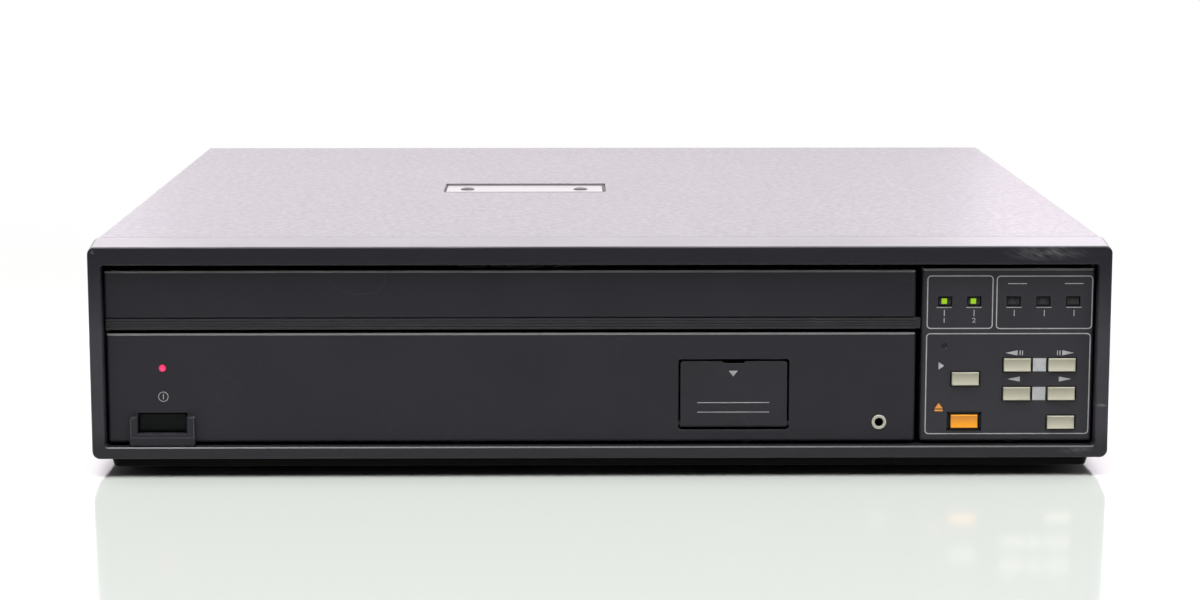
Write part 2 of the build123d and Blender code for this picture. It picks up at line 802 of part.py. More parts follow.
def circuit_boards():
    boards = []
    for x, y in (((-200.0, -108.0), (-40.0, 182.0)), ((47.0, 127.0), (-110.0, 165.0))):
        board = span(x, y, (board_z, board_z + 1.6))
        for corner_x in (x[0] + 4, x[1] - 4):
            for corner_y in (y[0] + 4, y[1] - 4):
                board += drum(corner_x, corner_y, 2.5, (base_floor_top, board_z))
        rows = int((y[1] - y[0]) / 34)
        for row in range(rows):
            chip_y = y[0] + 20 + row * 34
            for chip_x, reach in ((x[0] + 20, 10.0), (x[0] + 52, 14.0)):
                board += span(
                    (chip_x - reach, chip_x + reach),
                    (chip_y - 4, chip_y + 4),
                    (board_z + 1.6, board_z + 5.6),
                )
        board += span((x[0] + 14, x[0] + 58), (y[0] + 5, y[0] + 11), (board_z + 1.6, board_z + 9.0))
        boards.append(board)
    return Compound(children=boards)


def ac_inlet():
    y = rear_panel_y + sheet
    flange = upright(
        rectangle((inlet_x - 15.5, inlet_x + 15.5), (inlet_z - 12.0, inlet_z + 12.0), 2.0),
        (y, y + 2.5),
    )
    body = upright(
        rectangle((inlet_x - 14.0, inlet_x + 14.0), (inlet_z - 10.0, inlet_z + 10.0), 1.0),
        (y - 20.0, y),
    )
    inlet = flange + body
    socket = rectangle((inlet_x - 12.0, inlet_x + 12.0), (inlet_z - 8.0, inlet_z + 8.0))
    socket = chamfer(socket.vertices().group_by(Axis.Y)[-1], 4.5)
    inlet -= upright(socket, (y - 14.0, y + 2.5))
    for x, z in ((-7.0, -2.0), (0.0, 2.5), (7.0, -2.0)):
        inlet += span(
            (inlet_x + x - 1.0, inlet_x + x + 1.0),
            (y - 14.0, y - 1.0),
            (inlet_z + z - 2.0, inlet_z + z + 2.0),
        )
    return inlet


def video_sockets():
    y = rear_panel_y
    sockets = []
    for x in video_x:
        socket = bar_y(x, socket_z, 4.8, (y - 8.0, rear_reach_y)) + bar_y(
            x,
            socket_z,
            7.2,
            (y + sheet, y + sheet + 2.2),
        )
        socket -= bar_y(x, socket_z, 3.9, (y + 3.0, rear_reach_y))
        socket += bar_y(x, socket_z, 1.0, (y + 3.0, rear_reach_y - 2.0))
        socket += bar_x(
            rear_reach_y - 2.6,
            socket_z,
            1.0,
            (x - 5.6, x - 4.4),
        ) + bar_x(rear_reach_y - 2.6, socket_z, 1.0, (x + 4.4, x + 5.6))
        sockets.append(socket)
    return Compound(children=sockets)


def audio_sockets():
    y = rear_panel_y
    plate = upright(
        rectangle((audio_x[0] - 9.0, audio_x[-1] + 9.0), (socket_z - 8.0, socket_z + 8.0), 1.5),
        (y + sheet, y + sheet + 1.6),
    )
    plate += span(
        (audio_x[0] - 6.8, audio_x[-1] + 6.8),
        (y - 9.0, y + sheet),
        (socket_z - 5.8, socket_z + 5.8),
    )
    for x in audio_x:
        plate += bar_y(x, socket_z, 4.2, (y + sheet, y + 10.5))
        plate -= bar_y(x, socket_z, 1.6, (y - 4.0, y + 10.5))
        plate -= bar_y(x, socket_z, 3.3, (y + 5.5, y + 10.5))
    return plate


def interface_connector():
    y = rear_panel_y
    flange = upright(
        rectangle((port_x - 26.5, port_x + 26.5), (socket_z - 6.3, socket_z + 6.3), 1.0),
        (y + sheet, y + sheet + 1.0),
    )
    body = upright(
        rectangle((port_x - 20.5, port_x + 20.5), (socket_z - 5.6, socket_z + 5.6), 2.0),
        (y - 9.0, y + sheet),
    )
    shell = upright(
        rectangle((port_x - 19.5, port_x + 19.5), (socket_z - 4.6, socket_z + 4.6), 2.4),
        (y + sheet, y + 7.0),
    )
    port = flange + body + shell
    port -= upright(
        rectangle((port_x - 18.7, port_x + 18.7), (socket_z - 3.8, socket_z + 3.8), 2.0),
        (y + 3.4, y + 7.0),
    )
    for x in (-23.5, 23.5):
        port += bar_y(port_x + x, socket_z, 2.4, (y + sheet + 1.0, y + 6.0))
    return port


def loading_bracket():
    outline = make_hull(
        (Pos(drive_x, drive_y) * Circle(9.0)).edges()
        + (Pos(motor_x, motor_y) * Circle(18.0)).edges()
        + (Pos(pulley_x, pulley_y) * Circle(12.0)).edges()
    )
    bracket = level(outline, (bracket_z, bracket_z + sheet))
    bracket -= drum(motor_x, motor_y, 4.0, (bracket_z, bracket_z + sheet))
    bracket += drum(drive_x, drive_y, shaft_radius, (bracket_z + sheet, 65.4))
    bracket += drum(pulley_x, pulley_y, shaft_radius, (bracket_z + sheet, 54.6))
    for x, y in (
        (drive_x - 2.0, drive_y + 4.0),
        (pulley_x - 2.0, pulley_y + 6.0),
        (motor_x + 14.0, motor_y + 4.0),
    ):
        bracket += drum(x, y, 3.0, (base_floor_top, bracket_z))
    return bracket


def loading_motor():
    motor = drum(motor_x, motor_y, 10.0, (14.0, bracket_z - 0.6)) + drum(
        motor_x,
        motor_y,
        3.5,
        (bracket_z - 0.6, bracket_z + sheet),
    )
    return motor - drum(motor_x, motor_y, 1.2 + shaft_fit, (20.0, bracket_z + sheet))


def belt_groove(radius, rim):
    """The outer profile of a belt pulley, from its lower rim to its upper one."""
    low = [(radius + rim, 40.0), (radius + rim, 41.6), (radius, 42.2)]
    return low + [(radius, 44.8), (radius + rim, 45.4), (radius + rim, 46.4)]


def motor_pulley():
    shaft = [(0, 22.0), (1.2, 22.0), (1.2, 40.0)]
    return turned(motor_x, motor_y, shaft + belt_groove(motor_groove, 1.6) + [(0, 46.4)])


def loading_pulley():
    profile = [(0, 40.0)] + belt_groove(pulley_groove, 2.0) + [(0, 46.4)]
    pulley = turned(pulley_x, pulley_y, profile)
    phase = mesh_angle + 180 + 180 / pulley_teeth
    pinion = Pos(pulley_x, pulley_y) * gear_outline(pulley_teeth, tray_module, phase)
    pulley += level(pinion, (46.4, 54.0))
    return pulley - drum(pulley_x, pulley_y, shaft_radius + shaft_fit, (39.0, 56.0))


def drive_gear():
    wheel = level(
        Pos(drive_x, drive_y) * gear_outline(drive_teeth, tray_module, mesh_angle),
        (49.6, 53.6),
    )
    wheel += level(
        Pos(drive_x, drive_y) * gear_outline(drive_pinion_teeth, tray_module, 180.0),
        (53.6, 65.2),
    )
    wheel += drum(drive_x, drive_y, 4.5, (bracket_z + sheet + 0.4, 49.6))
    return wheel - drum(drive_x, drive_y, shaft_radius + shaft_fit, (39.0, 66.0))


def drive_belt():
    def loop(extra):
        small = (Pos(motor_x, motor_y) * Circle(motor_groove + extra)).edges()
        large = (Pos(pulley_x, pulley_y) * Circle(pulley_groove + extra)).edges()
        return make_hull(small + large)
    return level(loop(belt_gap + belt_section), (42.6, 44.4)) - level(loop(belt_gap), (42.6, 44.4))


def disc_tray():
    left = disc_x - tray_half
    right = disc_x + tray_half
    tray = level(rectangle((left, right), (tray_front_y, tray_rear_y)), (tray_low, tray_top))
    tray = fillet(tray.edges().filter_by(Axis.Z).group_by(Axis.Y)[-1], 6.0)
    tray -= drum(disc_x, disc_y, disc_recess, (tray_floor, tray_top))
    tray -= drum(disc_x, disc_y, small_disc_recess, (tray_floor - 1.2, tray_top))
    slot = Pos(disc_x, disc_y) * Circle(tray_slot / 2) + rectangle(
        (disc_x - tray_slot / 2, disc_x + tray_slot / 2),
        (disc_y, tray_rear_y),
    )
    tray -= level(slot, (tray_low, tray_top))
    for x in (-1, 1):
        scoop = Pos(disc_x + x * 108.0, disc_y - 114.0) * Circle(17.0)
        tray -= level(scoop, (tray_floor, tray_top))
    pocket = rectangle(
        (left + 2.5, right - 2.5),
        (tray_front_y + 2.5, tray_rear_y - 2.5),
    ) - Pos(disc_x, disc_y) * Circle(disc_recess + 2.5)
    for x in (-1, 1):
        pocket -= Pos(disc_x + x * 108.0, disc_y - 114.0) * Circle(19.5)
    tray -= level(pocket, (tray_low, tray_top - 2.5))
    for x in (-1, 1):
        edge = disc_x + x * tray_half
        tray += span(
            sorted((edge, edge + x * runner_reach)),
            (tray_front_y + 2, runner_rear_y),
            runner_z,
        )
        tray += span(
            sorted((edge - x * 5.0, edge)),
            (tray_rear_y - 8, runner_rear_y),
            (tray_low, runner_z[1] + 1.0),
        )
    return tray


def tray_rack():
    outline = rack_outline(
        rack_pitch_x,
        tray_module,
        (drive_y - 9.0, drive_y + tray_travel + 9.0),
        drive_y,
        -198.0,
    )
    return level(outline, (61.0, tray_low))


def tray_front():
    """The door of the tray, with ribs and a rear wall that closes the tray's front end."""
    face = upright(
        rectangle(tray_door_x, (trim_z[1] + 0.2, tray_door_z[1]), 0.8),
        (panel_y, panel_y + 3.2),
    )
    face = chamfer(face.faces().sort_by(Axis.Y)[0].edges(), panel_chamfer)
    back_x = (tray_door_x[0] + 1, tray_door_x[1] - 1)
    back_z = (trim_z[0] + 0.2, tray_door_z[1] - 3)
    face += span(back_x, (panel_y + 3.2, panel_y + 5.0), back_z)
    wall_y = (tray_front_y - 2.0, tray_front_y)
    for x in (-180.0, -110.0, -37.0, 36.0, 106.0):
        face += span((x - 4, x + 4), (panel_y + 5.0, wall_y[0]), (68.0, 80.0))
    wall_x = (disc_x - tray_half + 3, disc_x + tray_half - 3)
    return face + span(wall_x, wall_y, (tray_low - 2.0, 84.0))


def tray_trim_strip():
    strip = span((tray_door_x[0] + 0.4, tray_door_x[1]), (panel_y + 0.3, panel_y + 3.1), trim_z)
    for groove in range(3):
        z = trim_z[0] + 1.0 + groove * 1.1
        strip -= span(tray_door_x, (panel_y, panel_y + 0.6), (z, z + 0.45))
    return strip + span(
        (tray_door_x[1], tray_door_x[1] + 2.2),
        (panel_y + 1.2, panel_y + 3.1),
        (trim_z[0], trim_z[1] + 0.0),
    )


def lift_chassis():
    plate = level(rectangle(chassis_x, chassis_y, 3.0), (chassis_z, chassis_z + 2.0))
    plate -= drum(disc_x, disc_y, 7.4, (chassis_z, chassis_z + 2.0))
    window = rectangle((disc_x - 28.0, disc_x + 28.0), (24.0, 136.0), 6.0)
    plate -= level(window, (chassis_z, chassis_z + 2.0))
    plate -= drum(sled_x, sled_y, 4.2, (chassis_z, chassis_z + 2.0))
    for x in ((chassis_x[0] - 2.0, chassis_x[0]), (chassis_x[1], chassis_x[1] + 2.0)):
        plate += span(x, (chassis_y[0] + 4, chassis_y[1] - 4), (26.0, chassis_z + 2.0))
    for x, y in post_places:
        plate += drum(x, y, 6.0, (30.0, 48.0))
    for x, y in post_places:
        plate -= drum(x, y, post_radius + post_fit, (30.0, 48.0))
    for x in (disc_x - rod_half, disc_x + rod_half):
        for y in ((rod_y[0], rod_y[0] + 8.0), (rod_y[1] - 8.0, rod_y[1])):
            plate += span(
                (x - 5, x + 5),
                y,
                (chassis_z + 2.0, rod_z + 5.0),
            ) - bar_y(x, rod_z, rod_radius, y)
    for y in cam_pin_places:
        plate += bar_x(y, cam_pin_z, cam_pin_radius, (cam_x[0] - 1.2, chassis_x[0] - 2.0))
    return plate


def lift_slider():
    """A plate beside the chassis whose sloping slots lift the chassis by its pins."""
    low_z = base_floor_top + 0.3
    reach = cam_slope * lift_travel
    outline_y = (cam_pin_places[0] - reach - 12, cam_pin_places[1] + 12)
    plate = sideways(rectangle(outline_y, (low_z, 52.0), 2.0), cam_x)
    slot_width = 2 * cam_pin_radius + 0.6
    slot_turn = Rot(0, 0, -degrees(atan2(lift_travel, reach)))
    slot = slot_turn * SlotCenterToCenter(hypot(reach, lift_travel), slot_width)
    for y in cam_pin_places:
        place = Pos(y - reach / 2, cam_pin_z + lift_travel / 2)
        plate -= sideways(place * slot, cam_x)
    middle = sum(cam_pin_places) / 2 - reach / 2
    return plate - sideways(Pos(middle, 30.0) * SlotOverall(60.0, 16.0), cam_x)


def guide_posts():
    posts = [
        drum(x, y, post_radius, (base_floor_top, 60.5)) + drum(x, y, 7.0, (base_floor_top, 9.0))
        for x, y in post_places
    ]
    return Compound(children=posts)


def guide_rods():
    return Compound(
        children=[bar_y(disc_x + side * rod_half, rod_z, rod_radius, rod_y) for side in (-1, 1)]
    )


def spindle_motor():
    bore = shaft_radius + shaft_fit
    can = [(0, 14.0), (24.0, 14.0), (28.0, 17.0), (28.0, chassis_z)]
    boss = [(7.0, chassis_z), (7.0, 46.0), (bore, 46.0), (bore, 18.0), (0, 18.0)]
    return turned(disc_x, disc_y, can + boss)


def turntable():
    """The disc's seat and hub, with the shaft that runs in the motor."""
    top = turntable_z
    shaft = [(0, 18.5), (shaft_radius, 18.5), (shaft_radius, 48.0)]
    web = [(9.0, 48.0), (11.0, top - 3.5), (32.0, top - 3.5)]
    rim = [(turntable_radius, top - 2.5), (turntable_radius, top)]
    hub = [(17.2, top), (17.2, top + 1.0), (14.5, top + 3.0), (6.0, top + 3.0)]
    return turned(disc_x, disc_y, shaft + web + rim + hub + [(6.0, top + 1.6), (0, top + 1.6)])


def pickup_carriage():
    y = (carriage_y - carriage_half, carriage_y + carriage_half)
    body = span((disc_x - rod_half - 6, disc_x + rod_half + 6), y, (41.0, 50.0))
    for x in (disc_x - rod_half, disc_x + rod_half):
        body += span((x - 6, x + 6), y, (50.0, 52.0))
    body = chamfer(body.edges().filter_by(Axis.Z), 2.0)
    body -= span((disc_x - 26, disc_x + 26), (y[0] + 8, y[1] - 8), (41.0, 44.0))
    turret = level(rectangle((disc_x - 19, disc_x + 19), (y[0] + 8, y[1] - 2), 5.0), (50.0, 57.0))
    body += chamfer(turret.faces().sort_by(Axis.Z)[-1].edges(), 1.0)
    body -= drum(disc_x, carriage_y + lens_offset, 8.2, (52.0, 57.0))
    rack = rack_outline(
        sled_rack_x,
        sled_module,
        (sled_y - carriage_travel - 14.0, sled_y + 3.5),
        sled_y,
        disc_x + rod_half + rack_back,
    )
    body += level(rack, (44.0, 50.0))
    for x in (disc_x - rod_half, disc_x + rod_half):
        body -= bar_y(x, rod_z, rod_radius + 0.08, (y[0] - 90, y[1] + 40))
    return body


def pickup_lens():
    mount = [(0, 52.0), (8.0, 52.0), (8.0, 56.6), (6.4, 57.6), (4.6, 57.6)]
    lens = [(4.2, 58.0), (3.0, 58.5), (1.5, 58.8), (0, 58.9)]
    return turned(disc_x, carriage_y + lens_offset, mount + lens)


def sled_motor():
    motor = drum(sled_x, sled_y, 11.0, (18.0, chassis_z)) + drum(
        sled_x,
        sled_y,
        4.0,
        (chassis_z, chassis_z + 3.0),
    )
    return motor - drum(sled_x, sled_y, 1.2 + shaft_fit, (24.0, chassis_z + 3.0))


def sled_pinion():
    pinion = level(Pos(sled_x, sled_y) * gear_outline(sled_teeth, sled_module, 180.0), (44.0, 50.4))
    return pinion + drum(sled_x, sled_y, 1.2, (26.0, 52.0))


nodes = {
    "front_bezel": front_bezel(),
    "lower_panel": lower_panel(),
    "control_panel": control_panel(),
    "function_door": function_door(),
    "function_switch_block": function_switch_block(),
    "power_button": power_button(),
    "power_switch": power_switch(),
    "power_lamp": power_lamp(),
    "remote_jack": Compound(children=[jack_ring(), jack_body()]),
    "key_board": key_board(),
    "indicator_lamps": indicator_lamps(),
    "top_cover": top_cover(),
    "access_plate": access_plate(),
    "case_screws": case_screws(),
    "base_pan": base_pan(),
    "feet": feet(),
    "rear_panel": rear_panel(),
    "side_frames": side_frames(),
    "front_plate": front_plate(),
    "tray_rails": tray_rails(),
    "clamp_bridge": clamp_bridge(),
    "clamper": clamper(),
    "power_transformer": power_transformer(),
    "power_board": power_board(),
    "heat_sink": heat_sink(),
    "circuit_boards": circuit_boards(),
    "ac_inlet": ac_inlet(),
    "video_sockets": video_sockets(),
    "audio_sockets": audio_sockets(),
    "interface_connector": interface_connector(),
    "loading_bracket": loading_bracket(),
    "loading_motor": loading_motor(),
    "motor_pulley": motor_pulley(),
    "loading_pulley": loading_pulley(),
    "drive_gear": drive_gear(),
    "drive_belt": drive_belt(),
    "disc_tray": disc_tray(),
    "tray_rack": tray_rack(),
    "tray_front": tray_front(),
    "tray_trim_strip": tray_trim_strip(),
    "lift_chassis": lift_chassis(),
    "lift_slider": lift_slider(),
    "guide_posts": guide_posts(),
    "guide_rods": guide_rods(),
    "spindle_motor": spindle_motor(),
    "turntable": turntable(),
    "pickup_carriage": pickup_carriage(),
    "pickup_lens": pickup_lens(),
    "sled_motor": sled_motor(),
    "sled_pinion": sled_pinion(),
}
for key_name, (key_x, key_z) in key_places.items():
    nodes[key_name] = key(key_x, key_z)
for number in range(1, slide_count + 1):
    nodes[f"function_slide_{number}"] = function_slide(number)

for name, shape in nodes.items():
    export_step(shape, f"parts/{name}.step")
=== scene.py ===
import bpy
import bmesh
import math
from mathutils import Matrix, Vector


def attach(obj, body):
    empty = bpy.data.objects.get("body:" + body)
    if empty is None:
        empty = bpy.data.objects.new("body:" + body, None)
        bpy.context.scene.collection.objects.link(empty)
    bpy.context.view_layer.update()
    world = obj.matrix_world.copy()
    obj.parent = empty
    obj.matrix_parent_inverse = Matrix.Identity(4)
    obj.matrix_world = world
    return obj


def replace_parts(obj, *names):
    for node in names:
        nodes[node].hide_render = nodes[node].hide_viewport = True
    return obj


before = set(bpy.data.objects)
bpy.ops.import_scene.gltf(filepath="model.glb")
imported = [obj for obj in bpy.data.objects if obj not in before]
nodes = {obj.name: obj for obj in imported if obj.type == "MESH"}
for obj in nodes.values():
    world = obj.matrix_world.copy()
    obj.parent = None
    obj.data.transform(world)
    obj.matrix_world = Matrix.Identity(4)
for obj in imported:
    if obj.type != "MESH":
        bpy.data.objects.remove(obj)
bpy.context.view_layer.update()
scene = bpy.context.scene
scene.view_settings.view_transform = "Standard"
mm = 0.001
panelFace = -0.197  # front of the recessed panels
print("drawing loaded,", len(nodes), "pieces")

# Camera, fitted to the corners of the case
cameraSet = {"place": (-0.0111, -1.351, 0.2543), "tilt": 81.11, "turn": -0.54, "lens": 85.11, "sensor": 36.0}
cameraData = bpy.data.cameras.new("camera")
cameraData.lens = cameraSet["lens"]
cameraData.sensor_width = cameraSet["sensor"]
cameraData.clip_end = 40.0
camera = bpy.data.objects.new("camera", cameraData)
camera.location = cameraSet["place"]
camera.rotation_euler = (math.radians(cameraSet["tilt"]), 0.0, math.radians(cameraSet["turn"]))
scene.collection.objects.link(camera)
scene.camera = camera
print("camera placed")


# Node trees
def addNode(tree, kind, inputs=None, **settings):
    node = tree.nodes.new("ShaderNode" + kind)
    for key, value in settings.items():
        setattr(node, key, value)
    for key, value in (inputs or {}).items():
        if isinstance(value, bpy.types.NodeSocket):
            feed(node, key, value)
        else:
            node.inputs[key].default_value = value
    return node


def calc(tree, operation, first, second=0.0, third=0.0, clamp=False):
    node = addNode(tree, "Math", {0: first, 1: second, 2: third}, operation=operation, use_clamp=clamp)
    return node.outputs[0]


def remap(tree, value, low, high, toLow=0.0, toHigh=1.0):
    inputs = {"Value": value, "From Min": low, "From Max": high, "To Min": toLow, "To Max": toHigh}
    return addNode(tree, "MapRange", inputs).outputs["Result"]


def times(tree, first, second, clamp=False):
    return calc(tree, "MULTIPLY", first, second, clamp=clamp)


def feed(node, socket, value):
    node.id_data.links.new(value, node.inputs[socket])


def objectPlace(tree):
    return addNode(tree, "TexCoord").outputs["Object"]


def noiseOf(tree, place, scale, detail):
    return addNode(tree, "TexNoise", {"Vector": place, "Scale": scale, "Detail": detail}).outputs["Fac"]


def axesOf(tree, vector):
    return addNode(tree, "SeparateXYZ", {0: vector}).outputs


def blendColour(tree, factor, first, second):
    node = addNode(tree, "Mix", data_type="RGBA")
    for index, value in ((0, factor), (6, first), (7, second)):
        if isinstance(value, bpy.types.NodeSocket):
            feed(node, index, value)
        else:
            node.inputs[index].default_value = value
    return node.outputs[2]


def startGroup(name, inputs, outputs):
    tree = bpy.data.node_groups.new(name, "ShaderNodeTree")
    for label, kind, value in inputs:
        socket = tree.interface.new_socket(name=label, in_out="INPUT", socket_type="NodeSocket" + kind)
        socket.default_value = value
    for label, kind in outputs:
        tree.interface.new_socket(name=label, in_out="OUTPUT", socket_type="NodeSocket" + kind)
    return tree, tree.nodes.new("NodeGroupInput").outputs, tree.nodes.new("NodeGroupOutput").inputs


def edgeWearGroup():
    inputs = [("Radius", "Float", 0.0004), ("Amount", "Float", 1.0), ("Scale", "Float", 90.0)]
    tree, given, out = startGroup("edgeWear", inputs, [("Mask", "Float"), ("Normal", "Vector")])
    bevel = addNode(tree, "Bevel", {"Radius": given["Radius"]}, samples=6)
    geometry = addNode(tree, "NewGeometry")
    dot = addNode(tree, "VectorMath", {0: bevel.outputs[0], 1: geometry.outputs["Normal"]},
                  operation="DOT_PRODUCT")
    edge = remap(tree, dot.outputs["Value"], 0.985, 0.80)
    place = objectPlace(tree)
    broken = remap(tree, noiseOf(tree, place, given["Scale"], 4.0), 0.35, 0.65)
    mask = times(tree, times(tree, edge, broken), given["Amount"], clamp=True)
    tree.links.new(mask, out["Mask"])
    tree.links.new(bevel.outputs[0], out["Normal"])
    return tree


def fineGrainGroup():
    inputs = [("Scale", "Float", 2200.0), ("Mottle", "Float", 40.0)]
    tree, given, out = startGroup("fineGrain", inputs, [("Height", "Float"), ("Tone", "Float")])
    place = objectPlace(tree)
    cells = addNode(tree, "TexNoise", {"Vector": place, "Scale": given["Scale"], "Detail": 2.0,
                                       "Roughness": 0.6})
    mottle = noiseOf(tree, place, given["Mottle"], 5.0)
    tree.links.new(cells.outputs["Fac"], out["Height"])
    tree.links.new(mottle, out["Tone"])
    return tree


def dustGroup():
    inputs = [("Amount", "Float", 0.3), ("Scale", "Float", 900.0)]
    tree, given, out = startGroup("dust", inputs, [("Mask", "Float")])
    place = objectPlace(tree)
    specks = noiseOf(tree, place, given["Scale"], 3.0)
    clouds = noiseOf(tree, place, 14.0, 4.0)
    upward = axesOf(tree, addNode(tree, "NewGeometry").outputs["Normal"])["Z"]
    facing = remap(tree, upward, 0.5, 0.95)
    mask = times(tree, remap(tree, specks, 0.5, 0.72), remap(tree, clouds, 0.3, 0.7))
    mask = times(tree, times(tree, mask, facing), given["Amount"], clamp=True)
    tree.links.new(mask, out["Mask"])
    return tree


def scratchGroup():
    inputs = [("Amount", "Float", 0.5), ("Scale", "Float", 22.0), ("Width", "Float", 0.012)]
    tree, given, out = startGroup("scratches", inputs, [("Mask", "Float")])
    place = objectPlace(tree)
    bend = addNode(tree, "TexNoise", {"Vector": place, "Scale": 6.0})
    shifted = addNode(tree, "VectorMath", {0: place, 1: bend.outputs["Color"]}, operation="ADD")
    lines = addNode(tree, "TexVoronoi", {"Vector": shifted.outputs[0], "Scale": given["Scale"]},
                    feature="DISTANCE_TO_EDGE")
    thin = addNode(tree, "MapRange", {"Value": lines.outputs["Distance"], "From Min": given["Width"],
                                      "From Max": 0.0})
    sparse = noiseOf(tree, place, 30.0, 3.0)
    mask = times(tree, thin.outputs["Result"], remap(tree, sparse, 0.55, 0.7))
    tree.links.new(times(tree, mask, given["Amount"], clamp=True), out["Mask"])
    return tree


# Masks for a painted highlight on bevels that face up, for painted shade on faces that turn down (Lean), and
# for the coat on tops (Top)
def crestHighlightGroup():
    tree, given, out = startGroup("crestHighlight", [("Amount", "Float", 0.5)],
                                  [("Mask", "Float"), ("Top", "Float"), ("Lean", "Float")])
    upward = axesOf(tree, addNode(tree, "NewGeometry").outputs["True Normal"])["Z"]
    crestHighlight = times(tree, remap(tree, upward, 0.2, 0.6), remap(tree, upward, 0.99, 0.8))
    tree.links.new(times(tree, crestHighlight, given["Amount"], clamp=True), out["Mask"])
    tree.links.new(remap(tree, upward, 0.60, 0.95), out["Top"])
    tree.links.new(remap(tree, upward, -0.35, 0.35), out["Lean"])
    return tree


def scuffGroup():
    inputs = [("Place", "Vector", (0.0, 0.0, 0.0)), ("Reach", "Vector", (1.0, 1.0, 1.0)),
              ("Amount", "Float", 0.5)]
    tree, given, out = startGroup("scuff", inputs, [("Mask", "Float")])
    place = objectPlace(tree)
    away = addNode(tree, "VectorMath", {0: place, 1: given["Place"]}, operation="SUBTRACT").outputs[0]
    share = addNode(tree, "VectorMath", {0: away, 1: given["Reach"]}, operation="DIVIDE").outputs[0]
    distance = addNode(tree, "VectorMath", {0: share}, operation="LENGTH").outputs["Value"]
    stretch = addNode(tree, "Mapping", {"Vector": place, "Rotation": (0.0, 0.42, 0.0),
                                        "Scale": (1.0, 1.0, 0.22)}, vector_type="TEXTURE")
    noise = noiseOf(tree, stretch.outputs[0], 210.0, 5.0)
    mask = times(tree, remap(tree, distance, 1.0, 0.1), remap(tree, noise, 0.36, 0.68))
    tree.links.new(times(tree, mask, given["Amount"], clamp=True), out["Mask"])
    return tree


# Colours that dirt and wear bring, and the painted highlight on bevels that face up
dirtWearAndHighlight = {"dust": (0.42, 0.40, 0.38), "paintDust": (0.5, 0.48, 0.47), "scuff": (0.30, 0.30, 0.31),
           "crestHighlight": (0.42, 0.43, 0.42), "solder": (0.35, 0.34, 0.3), "inkGap": (0.05, 0.05, 0.052)}
groups = {"crestHighlight": crestHighlightGroup(), "scuff": scuffGroup(), "wear": edgeWearGroup(), "grain": fineGrainGroup(),
          "dust": dustGroup(), "scratch": scratchGroup()}


def useGroup(tree, name, **inputs):
    node = tree.nodes.new("ShaderNodeGroup")
    node.node_tree = groups[name]
    for key, value in inputs.items():
        node.inputs[key].default_value = value
    return node.outputs


def emptyMaterial(name):
    material = bpy.data.materials.new(name)
    material.use_nodes = True
    material.node_tree.nodes.clear()
    return material, material.node_tree


def startMaterial(name):
    material, tree = emptyMaterial(name)
    shader = addNode(tree, "BsdfPrincipled")
    output = addNode(tree, "OutputMaterial")
    feed(output, "Surface", shader.outputs[0])
    return material, tree, shader


def opaque(colour, factor=1.0):
    return (colour[0] * factor, colour[1] * factor, colour[2] * factor, 1.0)


def addRelief(tree, shader, wear, height, depth):
    bump = addNode(tree, "Bump", {"Strength": 1.0, "Distance": depth, "Height": height,
                                  "Normal": wear["Normal"]})
    feed(shader, "Normal", bump.outputs[0])
    return bump.outputs[0]


def setShader(shader, look):
    for socket, value in look.get("shader", {}).items():
        shader.inputs[socket].default_value = value


def mouldedFinish(name, look):  # grained moulding, with a painted highlight where a bevel faces up
    material, tree, shader = startMaterial(name)
    grain = useGroup(tree, "grain", Scale=look["grain"], Mottle=look.get("mottle", 35.0))
    wear = useGroup(tree, "wear", Radius=look.get("edge", 0.0004), Amount=look["wear"])
    dust = useGroup(tree, "dust", Amount=look.get("dust", 0.1))
    scratch = useGroup(tree, "scratch", Amount=look.get("scratch", 0.2), Scale=look.get("scratchScale", 18.0))
    tone = remap(tree, grain["Tone"], 0.3, 0.7)
    colour = blendColour(tree, tone, opaque(look["colour"], 0.92), opaque(look["colour"], 1.08))
    colour = blendColour(tree, wear["Mask"], colour, opaque(look["worn"]))
    colour = blendColour(tree, dust["Mask"], colour, opaque(dirtWearAndHighlight["dust"]))
    colour = blendColour(tree, scratch["Mask"], colour, opaque(look["worn"]))
    # painted highlight: lighter bands stand in for the light on the button's fine ridges
    if "ribs" in look:
        ribs = addNode(tree, "TexWave", {"Vector": objectPlace(tree), "Scale": look["ribs"]},
                       bands_direction="Z")
        colour = blendColour(tree, ribs.outputs["Fac"], colour, opaque(look["worn"], look["ribHighlight"]))
    # painted shading: bands of colour set by position, darker where shade falls and lighter where light falls
    if "paintedShading" in look:
        place = axesOf(tree, objectPlace(tree))
        for axis, low, high, shade in look["paintedShading"]:
            colour = blendColour(tree, remap(tree, place[axis], low, high), colour, opaque(shade))
    for place, reach, amount in look.get("scuffs", ()):
        scuff = useGroup(tree, "scuff", Place=place, Reach=reach, Amount=amount)
        colour = blendColour(tree, scuff["Mask"], colour, opaque(dirtWearAndHighlight["scuff"]))
    # painted highlight on bevels that face up
    crestHighlight = useGroup(tree, "crestHighlight", Amount=look.get("crestHighlight", 0.0))
    colour = blendColour(tree, crestHighlight["Mask"], colour, opaque(dirtWearAndHighlight["crestHighlight"]))
    # painted shade: faces that turn down take the darker colour
    if "lean" in look:
        colour = blendColour(tree, crestHighlight["Lean"], opaque(look["lean"]), colour)
    if "topCoat" in look:
        feed(shader, "Coat Weight", remap(tree, crestHighlight["Top"], 0.0, 1.0, 0.0, look["topCoat"]))
    feed(shader, "Base Color", colour)
    rough = calc(tree, "ADD", remap(tree, grain["Tone"], 0.3, 0.7, look["rough"] - 0.04, look["rough"]
                                    + 0.04),
                 times(tree, dust["Mask"], 0.3), clamp=True)
    feed(shader, "Roughness", rough)
    addRelief(tree, shader, wear, grain["Height"], look["depth"])
    setShader(shader, look)
    return material


